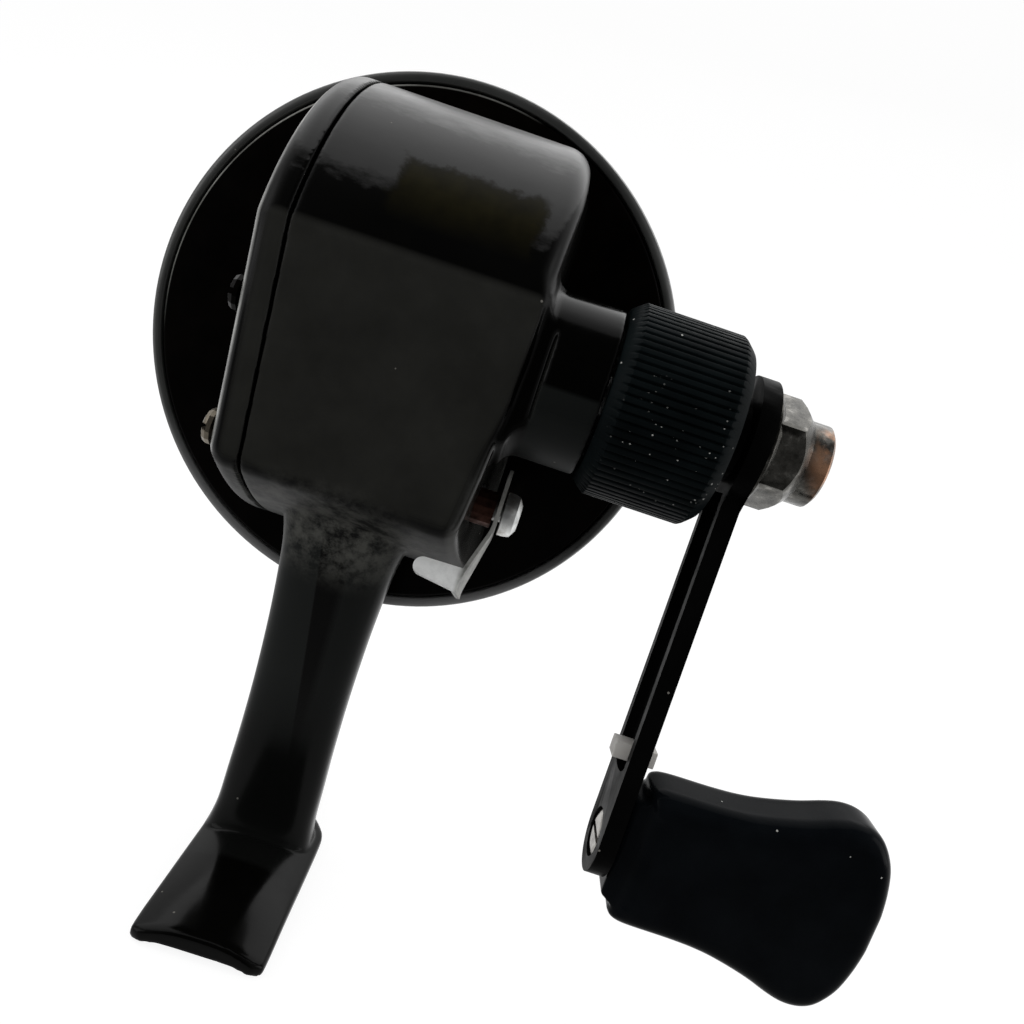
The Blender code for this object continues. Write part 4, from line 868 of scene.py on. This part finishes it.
def rod(name, centre, radius, start, end, steps=pin_steps):
    """A rod across the reel, from its centre and the sides of its two ends."""
    return spun(name, [(radius, start), (radius, end)], False, centre, side_way, steps)


def curve_through(points, steps):
    """A smooth curve through a list of points, as a tuple of numbers each."""
    result = []
    last = len(points) - 1
    for index in range(last):
        before, start = points[max(index - 1, 0)], points[index]
        end, after = points[index + 1], points[min(index + 2, last)]
        for step in range(steps):
            share = step / steps
            square, cube = share ** 2, share ** 3
            weights = ((-cube + 2 * square - share) / 2, (3 * cube - 5 * square + 2) / 2,
                       (-3 * cube + 4 * square + share) / 2, (cube - square) / 2)
            result.append(tuple(sum(weight * value for weight, value in zip(weights, values))
                                for values in zip(before, start, end, after)))
    result.append(tuple(points[-1]))
    return result


def place(side, ahead, up):
    """A point from its place beside, ahead of and above the spool axis."""
    return reel_axis + Vector((side, ahead, up))


def sweep(start, turn, steps):
    """Even angles from the start through the turn, given in degrees."""
    return [math.radians(start + turn * step / steps) for step in range(steps + 1)]


def arc(centre, width, height, start, turn, steps):
    """Points of an ellipse about a centre, over even angles in degrees."""
    return [(centre[0] + width * math.cos(angle), centre[1] + height * math.sin(angle))
            for angle in sweep(start, turn, steps)]


def clamped(value):
    return min(max(value, 0), 1)


def eased(value):
    """The clamped value, starting and ending gently."""
    share = clamped(value)
    return share * share * (3 - 2 * share)


# Gearbox, stem and foot

def arc_between(start, end, bulge_share, steps):
    """Points of an arc from start to end that bulges to its right by a share of the chord."""
    start, end = Vector(start), Vector(end)
    chord = end - start
    bulge = bulge_share * chord.length
    radius = (chord.length_squared / 4 + bulge * bulge) / (2 * bulge)
    right = Vector((chord.y, -chord.x)).normalized()
    centre = (start + end) / 2 - right * (radius - bulge)
    half_angle = math.asin(chord.length / (2 * radius))
    angles = [half_angle * (2 * step / steps - 1) for step in range(steps + 1)]
    return [centre + radius * (right * math.cos(angle) + chord.normalized() * math.sin(angle))
            for angle in angles]


def box_outline():
    """The gearbox from the side as (ahead, up) points: up the rear, over the top, back below."""
    keel = Vector((-box_rear, -box_keel))
    crest = Vector((-box_rear, box_crest))
    brow = Vector((box_front, box_top))
    chin = Vector((box_front, -box_bottom))
    floor = arc_between(keel, chin, floor_bulge_share, 20)[::-1]
    roof = arc_between(brow, crest, roof_bulge_share, 48)[::-1]
    rear = [keel.lerp(crest, step / 24) for step in range(3, 24)]
    front = [brow.lerp(chin, step / 40) for step in range(1, 40)]
    reach = keel_fillet / math.tan((floor[-2] - keel).angle(crest - keel) / 2)
    start, end = keel + (floor[-2] - keel).normalized() * reach, keel + Vector((0, reach))
    corner = [start.lerp(keel, step / 8).lerp(keel.lerp(end, step / 8), step / 8) for step in range(9)]
    kept = [point for point in floor[:-1] if (point - keel).length > reach * 1.1]
    return corner + [point for point in rear if point.y > end.y + 0.5 * mm] + roof + front + kept


def low_share(up):
    return clamped((box_crest - up) / (box_crest + box_keel))


def seam_side(up):
    return -box_left + box_draft * low_share(up)


def wall_side(ahead, up):
    """Side of the right wall, which leans in to its rear, its lower corner and its brow."""
    rear_share = clamped(-ahead / box_rear)
    brow_share = clamped((up - brow_start) / (box_top - brow_start))
    draft = (box_right_lean + box_draft * low_share(up) ** 2) * rear_share
    return box_right - draft - brow_draw * brow_share ** 2


def inset(outline, distances):
    """Every point of a closed outline moved inwards by its own distance."""
    moved = []
    count = len(outline)
    for index in range(count):
        here = outline[index]
        arrive = (here - outline[index - 1]).normalized()
        leave = (outline[(index + 1) % count] - here).normalized()
        inward = Vector((arrive.y + leave.y, -arrive.x - leave.x)).normalized()
        lean = max(inward.dot(Vector((arrive.y, -arrive.x))), 0.5)
        moved.append(here + inward * distances[index] / lean)
    return moved


def rim_radius(point, roof, rear, low):
    """The radius of a wall's rim at a point of the outline: none along the front."""
    if point.x > box_front - 0.05 * mm:
        return 0
    if point.y <= box_crest:
        return rear + (low - rear) * eased(-point.y / low_edge_start)
    return rear + (roof - rear) * eased((point.y - box_crest) / roof_edge_start)


def shell_skin(name, outline, first_side, last_side, edges, outward):
    """The gearbox or its cover as a solid from its seam to its far wall, whose rim is round."""
    rings = [[place(first_side(up), ahead, up) for ahead, up in outline]]
    radii = [rim_radius(point, *edges) for point in outline]
    for angle in sweep(0, 90, rim_steps):
        drawn_in = inset(outline, [radius * (1 - math.cos(angle)) for radius in radii])
        rings.append([place(last_side(ahead, up) - outward * radius * (1 - math.sin(angle)), ahead, up)
                      for (ahead, up), radius in zip(drawn_in, radii)])
    return lofted(name, rings)


def stem_skin():
    """The stem, flared into the gearbox above and into the foot below, its rear face gently round."""
    width_shares = ((0.0, 1.64, 2.1), (0.07, 1.37, 1.7), (0.12, 1.24, 1.42), (0.18, 1.14, 1.28),
                    (0.26, 1.08, 1.18), (0.39, 1.02, 1.08), (0.55, 0.99, 1.0), (0.7, 1.0, 0.95),
                    (0.82, 1.03, 0.93), (0.91, 1.05, 1.0), (0.96, 1.1, 1.2), (1.0, 1.17, 1.5))
    rings = []
    for down_share, width_share, depth_share in curve_through(width_shares, 6):
        half_width = stem_width / 2 * width_share
        half_depth = stem_depth / 2 * depth_share
        ahead = stem_top_ahead + (stem_foot_ahead - stem_top_ahead) * max(down_share, 0) ** 0.8
        up = -box_keel + (stem_bottom + box_keel) * down_share
        ring = []
        for angle in sweep(0, 355, 71):
            across = math.copysign(abs(math.cos(angle)) ** 0.6, math.cos(angle))
            through = math.copysign(abs(math.sin(angle)) ** 0.7, math.sin(angle))
            ring.append(place(stem_side + half_width * across, ahead + half_depth * through, up))
        rings.append(ring)
    return lofted("stem_skin", rings)


def foot_skin():
    """The foot: a wide tongue behind the stem, a narrow one ahead of it, arched across."""
    length_shares = ((0.0, 0.84, 0.75), (0.012, 0.95, 0.8), (0.035, 1.0, 0.85), (0.2, 1.0, 1.0),
                     (0.5, 1.0, 1.0), (0.565, 0.97, 1.0), (0.6, 0.85, 1.0), (0.635, 0.68, 1.0),
                     (0.7, 0.58, 1.0), (0.85, 0.5, 0.85), (0.96, 0.42, 0.7), (0.99, 0.34, 0.6),
                     (1.0, 0.22, 0.55))
    rings = []
    for length_share, half_share, thick_share in curve_through(length_shares, 6):
        ahead = -foot_behind + (foot_front + foot_behind) * length_share
        half = foot_half * half_share
        flat = min(seat_half, half * 0.6)
        below, above = [], []
        for across in (half * (1 - 2 * step / 24) for step in range(25)):
            sag = foot_arch * max((abs(across) - flat) / (foot_half - seat_half), 0) ** 1.6
            thick = foot_thick + (foot_edge_thick - foot_thick) * (abs(across) / half) ** 2
            below.insert(0, (across, -sag))
            above.append((across, thick * thick_share - sag))
        rings.append([Vector((across, reel_axis.y + ahead, rise)) for across, rise in below + above])
    return lofted("foot_skin", rings)


def boss_skin():
    """The boss with its flare, cut off flat a little ahead of the rear panel."""
    shoulder = wall_side(-crank_behind, crank_above)
    flare = arc((boss_radius + boss_flare, shoulder + boss_flare_length), -boss_flare, -boss_flare_length,
                0, 90, 16)
    outline = [(boss_radius, boss_end), *flare, (boss_radius + boss_flare, shoulder - 1.5 * mm)]
    boss = spun("boss_skin", outline, False, place(0, -crank_behind, crank_above), side_way)
    limit = reel_axis.y - box_rear + boss_valley
    for vertex in boss.data.vertices:
        if vertex.co.x < reel_axis.x + shoulder + boss_flare_length:
            vertex.co.y = max(vertex.co.y, limit)
    return boss


def make_castings():
    """The casting, with stem, foot and boss, and the cover on its left side."""
    outline = box_outline()
    box = shell_skin("box_skin", outline, seam_side, wall_side, (roof_edge, panel_edge, low_edge), 1)
    skin = joined("casting_skin", box, stem_skin(), foot_skin(), boss_skin())
    fitted_copy("frame_casting", "body_frame", remeshed(skin, skin_voxel, skin_smoothing))
    cover = shell_skin("cover_skin", outline, lambda up: seam_side(up) - gap,
                       lambda ahead, up: seam_side(up) - cover_depth, (cover_edge,) * 3, -1)
    fitted_copy("cover_casting", "side_cover", cover)


# Crank side

def make_drag_knob():
    """The drag knob: flat-topped ridges with narrow grooves between, run out at both chamfers."""
    length = knob_end - knob_start
    ridge_end = length - knob_outer_chamfer
    sections = [(0.0, knob_inner_radius - 0.25 * mm, 0.0), (0.12 * mm, knob_inner_radius, 0.0)]
    for share, depth_share in ((0.5, 0.0), (0.75, 0.25), (0.95, 0.6)):
        radius = knob_inner_radius + (knob_radius - knob_inner_radius) * share
        sections.append((knob_inner_chamfer * share, radius, depth_share))
    sections += [(knob_inner_chamfer, knob_radius, 0.75),
                 (knob_inner_chamfer + 0.5 * mm, knob_radius, 1.0),
                 (ridge_end - 0.5 * mm, knob_radius, 1.0),
                 (ridge_end - 0.1 * mm, knob_radius, 0.55),
                 (ridge_end, knob_radius - 0.06 * mm, 0.3),
                 (ridge_end + 0.25 * mm, knob_radius - 0.2 * mm, 0.0),
                 (length - 2 * knob_lip, knob_outer_radius + knob_lip, 0.0),
                 (length, knob_outer_radius - knob_lip, 0.0)]
    groove_shares = (0.0, 0.0, 0.0, 0.0, 0.0, 0.06, 0.6, 1.0, 0.6, 0.06)
    start = reel_axis.x + knob_start
    rings = []
    turns = sweep(0, 360, knob_ridges * len(groove_shares))[:-1]
    for along, radius, depth_share in sections:
        ring = []
        for angle, groove_share in zip(turns, groove_shares * knob_ridges):
            reach = radius - knob_groove * depth_share * groove_share
            ahead, up = reach * math.cos(angle), reach * math.sin(angle)
            ring.append(crank_axis + Vector((start + along, ahead, up)))
        rings.append(ring)
    knob = lofted("ridged_knob", rings)
    cut(knob, rod("recess", crank_axis, knob_recess_radius, start - past, start + knob_recess_depth,
                  bore_steps),
        rod("bore", crank_axis, shaft_bore, start, start + length + past))
    shade(knob.data, ridge_angle)
    stand_for(knob, "drag_knob")


def leaning(centre, lean):
    """Gives the points of a leaning piece from their places beside the spool axis and about a centre."""
    turn = Matrix.Rotation(-lean, 3, "X")
    return lambda side, ahead, up: centre + turn @ Vector((reel_axis.x + side, ahead, up))


def make_crank_arm():
    """The arm: a channel open towards the reel, with a round eye at the shaft and a round end."""
    arm_place = leaning(crank_axis, arm_lean)
    spread = math.degrees(math.asin(arm_half / arm_eye))
    outline = arc((0, 0), arm_eye, arm_eye, spread - 90, 360 - 2 * spread, 72)
    outline += arc((0, -arm_reach), arm_end_radius, arm_end_radius, 180, 180, 32)
    arm = slab("crank_casting", arm_place, outline, arm_inner, arm_outer)
    half = arm_half - arm_flange
    top = -arm_eye * channel_start
    bottom = -arm_reach + peg_up - peg_height / 2 - gap - arm_flange
    bow = half * channel_end
    channel = [(half, top), *arc((0, bottom + bow), half, -bow, 0, 180, 24), (-half, top)]
    peg_half, peg_rise = peg_side / 2 + gap, peg_height / 2 + gap
    low, high = peg_up - arm_reach - peg_rise, peg_up - arm_reach + peg_rise
    peg = [(peg_half, high), (-peg_half, high), (-peg_half, low), (peg_half, low)]
    end = arm_place(0, 0, -arm_reach)
    cut(arm, slab("channel", arm_place, channel, arm_inner - past, arm_outer - arm_web),
        rod("spindle_hole", end, spindle_hole, arm_inner, arm_outer + past),
        rod("head_recess", end, spindle_recess_radius, arm_inner - past, arm_inner + spindle_recess),
        slab("peg_hole", arm_place, peg, arm_inner - past, arm_outer + past))
    start = reel_axis.x + arm_collar_start
    combine(arm, "UNION", rod("collar", crank_axis, arm_collar_radius, start,
                              reel_axis.x + arm_inner + arm_web, bore_steps))
    cut(arm, rod("bore", crank_axis, shaft_bore, start - past, reel_axis.x + arm_outer + past))
    form = welded(arm.data, True)
    form.to_mesh(arm.data)
    form.free()
    round_edges(arm, edge_round)
    stand_for(arm, "crank_arm", own=arm_enamel)


def make_paddle():
    """The fish-tail paddle, bored for its spindle, with a round rim."""
    half_line = curve_through(paddle_half_shares, 8)
    length = paddle_end - paddle_start
    upper = [Vector((length * along, paddle_half * half)) for along, half in half_line]
    outline = upper + [Vector((point.x, -point.y)) for point in reversed(upper)]
    start = paddle_axis + side_way * (reel_axis.x + paddle_start)
    rings = []
    for side in (-1, 1):
        for angle in sweep(0, 90, 10)[::-side]:
            drawn_in = inset(outline, [paddle_edge * (1 - math.sin(angle))] * len(outline))
            depth = side * (paddle_thick / 2 - paddle_edge * (1 - math.cos(angle)))
            rings.append([start + Vector((along, depth, up)) for along, up in drawn_in])
    neck = [[start + Vector((along, depth, up))
             for depth, up in ((-thick, -half), (thick, -half), (thick, half), (-thick, half))]
            for along, thick, half in paddle_neck]
    paddle = joined("paddle", lofted("paddle_body", rings), lofted("paddle_neck", neck))
    remeshed(paddle, cast_voxel, paddle_smoothing)
    cut(paddle, rod("paddle_bore", paddle_axis, paddle_bore, start.x - 3 * past,
                    start.x + paddle_bore_depth))
    shade(paddle.data, turned_angle)
    stand_for(paddle, "paddle_knob")


def make_lever():
    """The bent sheet lever, whose arm turns its outer face to the rear as it nears the tab."""
    lever_place = leaning(lever_axis, math.atan2(lever_back, lever_drop))
    reach = math.hypot(lever_back, lever_drop)
    tail = lever_tail + lever_eye
    key_sections = ((tail, lever_eye * 0.35, 0, 0), (tail - lever_eye * 0.25, lever_eye * 0.72, 0, 0),
                    (tail - lever_eye * 0.6, lever_eye * 0.94, 0, 0), (lever_tail, lever_eye, 0, 0),
                    (0, lever_eye, 0, 0), (-lever_eye * 0.7, lever_eye * 0.85, 0, 0),
                    (-lever_eye * 1.2, lever_half * 1.05, 0.03, 0.1),
                    (-lever_eye * 2, lever_half, 0.3, 0.35), (-reach * 0.75, lever_half, 0.68, 0.75),
                    (-reach, lever_half, 1, 1), (-reach - tab_low, lever_half * 0.6, 1, 1))
    rings = []
    for up, half, joggle_share, flare_share in curve_through(key_sections, 4):
        rear = lever_plane - lever_joggle * joggle_share
        front = rear + lever_flare * flare_share
        corners = ((rear, -half), (front, half), (front - lever_thick, half), (rear - lever_thick, -half))
        rings.append([lever_place(side, ahead, up) for side, ahead in corners])
    arm = lofted("arm_sheet", rings)
    eye_side = reel_axis.x + lever_plane
    cut(arm, rod("lever_hole", lever_axis, lever_hole, eye_side - 2 * past, eye_side + past))
    tip = lever_plane - lever_joggle
    tab = [(tip - tab_inset, -tab_low), (tip - tab_inset, tab_high)]
    tab += arc((tip - lever_tab + tab_end / 2, tab_lift), tab_end, tab_end, 90, 180, 16)
    sheet = lofted("tab_sheet", [[lever_place(side, ahead, up - reach) for side, up in tab]
                                 for ahead in (-lever_half, -lever_half + lever_thick)])
    lever = joined("reverse_lever", arm, sheet)
    round_edges(lever, fine_round)
    stand_for(lever, "anti_reverse_lever", own=lever_zinc())


make_castings()
turned_copy("drawn_cover", "front_cover", radius=bell_round)
turned_copy("deck_plate", "rear_plate")
turned_copy("line_ring", "nose_ring")
turned_copy("push_button", "release_button")
turned_copy("pivot_rivet", "lever_pivot", lever_axis, side_way, fine_round, pin_steps)
make_drag_knob()
make_crank_arm()
make_paddle()
edged_copy("cap_nut", "crank_nut", nut_metal)
edged_copy("nylon_block", "arm_peg")
make_lever()


# Camera, light and stage

def make_camera():
    """The photograph's viewpoint."""
    data = bpy.data.cameras.new("camera")
    data.sensor_width = sensor_width
    data.lens = focal_pixels * sensor_width / frame_pixels
    data.clip_start = 1 * mm
    camera = linked("camera", data)
    turn = Matrix((camera_right, -camera_down, -camera_forward)).transposed().to_4x4()
    camera.matrix_world = Matrix.Translation(camera_place) @ turn
    bpy.context.scene.camera = camera


def make_lamp(name, spot, width, height, radiance):
    """A soft box turned to the reel; a radiance of 1 shows as plain white."""
    data = bpy.data.lights.new(name, "AREA")
    data.shape = "RECTANGLE"
    data.size = width
    data.size_y = height
    data.energy = radiance * math.pi * width * height
    lamp = linked(name, data)
    lamp.location = spot
    lamp.rotation_euler = (reel_axis - Vector(spot)).to_track_quat("-Z", "Y").to_euler()
    lamp.visible_camera = False


def backdrop_material():
    """White to the camera, through glass and to reflections of what lies ahead; else a dark card."""
    look = new_look("pale_card")
    rays = look.add("LightPath").outputs
    mirrored = look.times(rays["Is Glossy Ray"], look.band("Y", white_floor))
    seen = look.maths("MAXIMUM", rays["Is Camera Ray"], mirrored)
    seen = look.maths("MAXIMUM", seen, rays["Is Transmission Ray"])
    card = look.add("BsdfDiffuse", {"Color": tone(card_grey)})
    glow = look.add("Emission", {"Strength": look.times(seen, card_glow)})
    both = look.add("AddShader", {0: card.outputs[0], 1: glow.outputs[0]})
    look.add("OutputMaterial", {"Surface": both.outputs[0]})
    return look.owner


def make_stage():
    """A floor that curves up into a wall ahead of the reel."""
    bend = arc((wall_start, floor_bend), floor_bend, floor_bend, -90, 90, 12)
    outline = [(floor_near, 0), *bend, (wall_start + floor_bend, backdrop_top)]
    form = bmesh.new()
    left, right = ([form.verts.new((side, ahead, up)) for ahead, up in outline]
                   for side in (-floor_half, floor_half))
    for index in range(len(outline) - 1):
        form.faces.new((left[index], right[index], right[index + 1], left[index + 1]))
    stage = piece_from(form, "stage_sweep", all_smooth)
    stage.data.materials.append(backdrop_material())
    stage.location.z = cad_box[0][2]


def make_world():
    """White to the camera, grey as a light; in reflections dark behind, grey at the sides, pale ahead."""
    world = bpy.data.worlds.new("world")
    bpy.context.scene.world = world
    look = Look(world)
    rays = look.add("LightPath").outputs
    way = look.add("SeparateXYZ", {0: look.add("TexCoord").outputs["Generated"]}).outputs
    sideways = look.between(look.maths("ABSOLUTE", way["X"]), *sides_from)
    room = look.mix(sideways, room_behind, room_sides)
    room = look.mix(look.between(way["Y"], *ahead_from), room, room_ahead)
    colour = look.mix(rays["Is Glossy Ray"], room_light, room)
    seen = look.maths("MAXIMUM", rays["Is Camera Ray"], rays["Is Transmission Ray"])
    glow = look.add("Background", {"Color": look.mix(seen, colour, 1)})
    look.add("OutputWorld", {"Surface": glow.outputs[0]})


make_camera()
for name, lamp in lamps.items():
    make_lamp(name, *lamp)
make_stage()
make_world()
bpy.context.scene.view_settings.view_transform = "Standard"
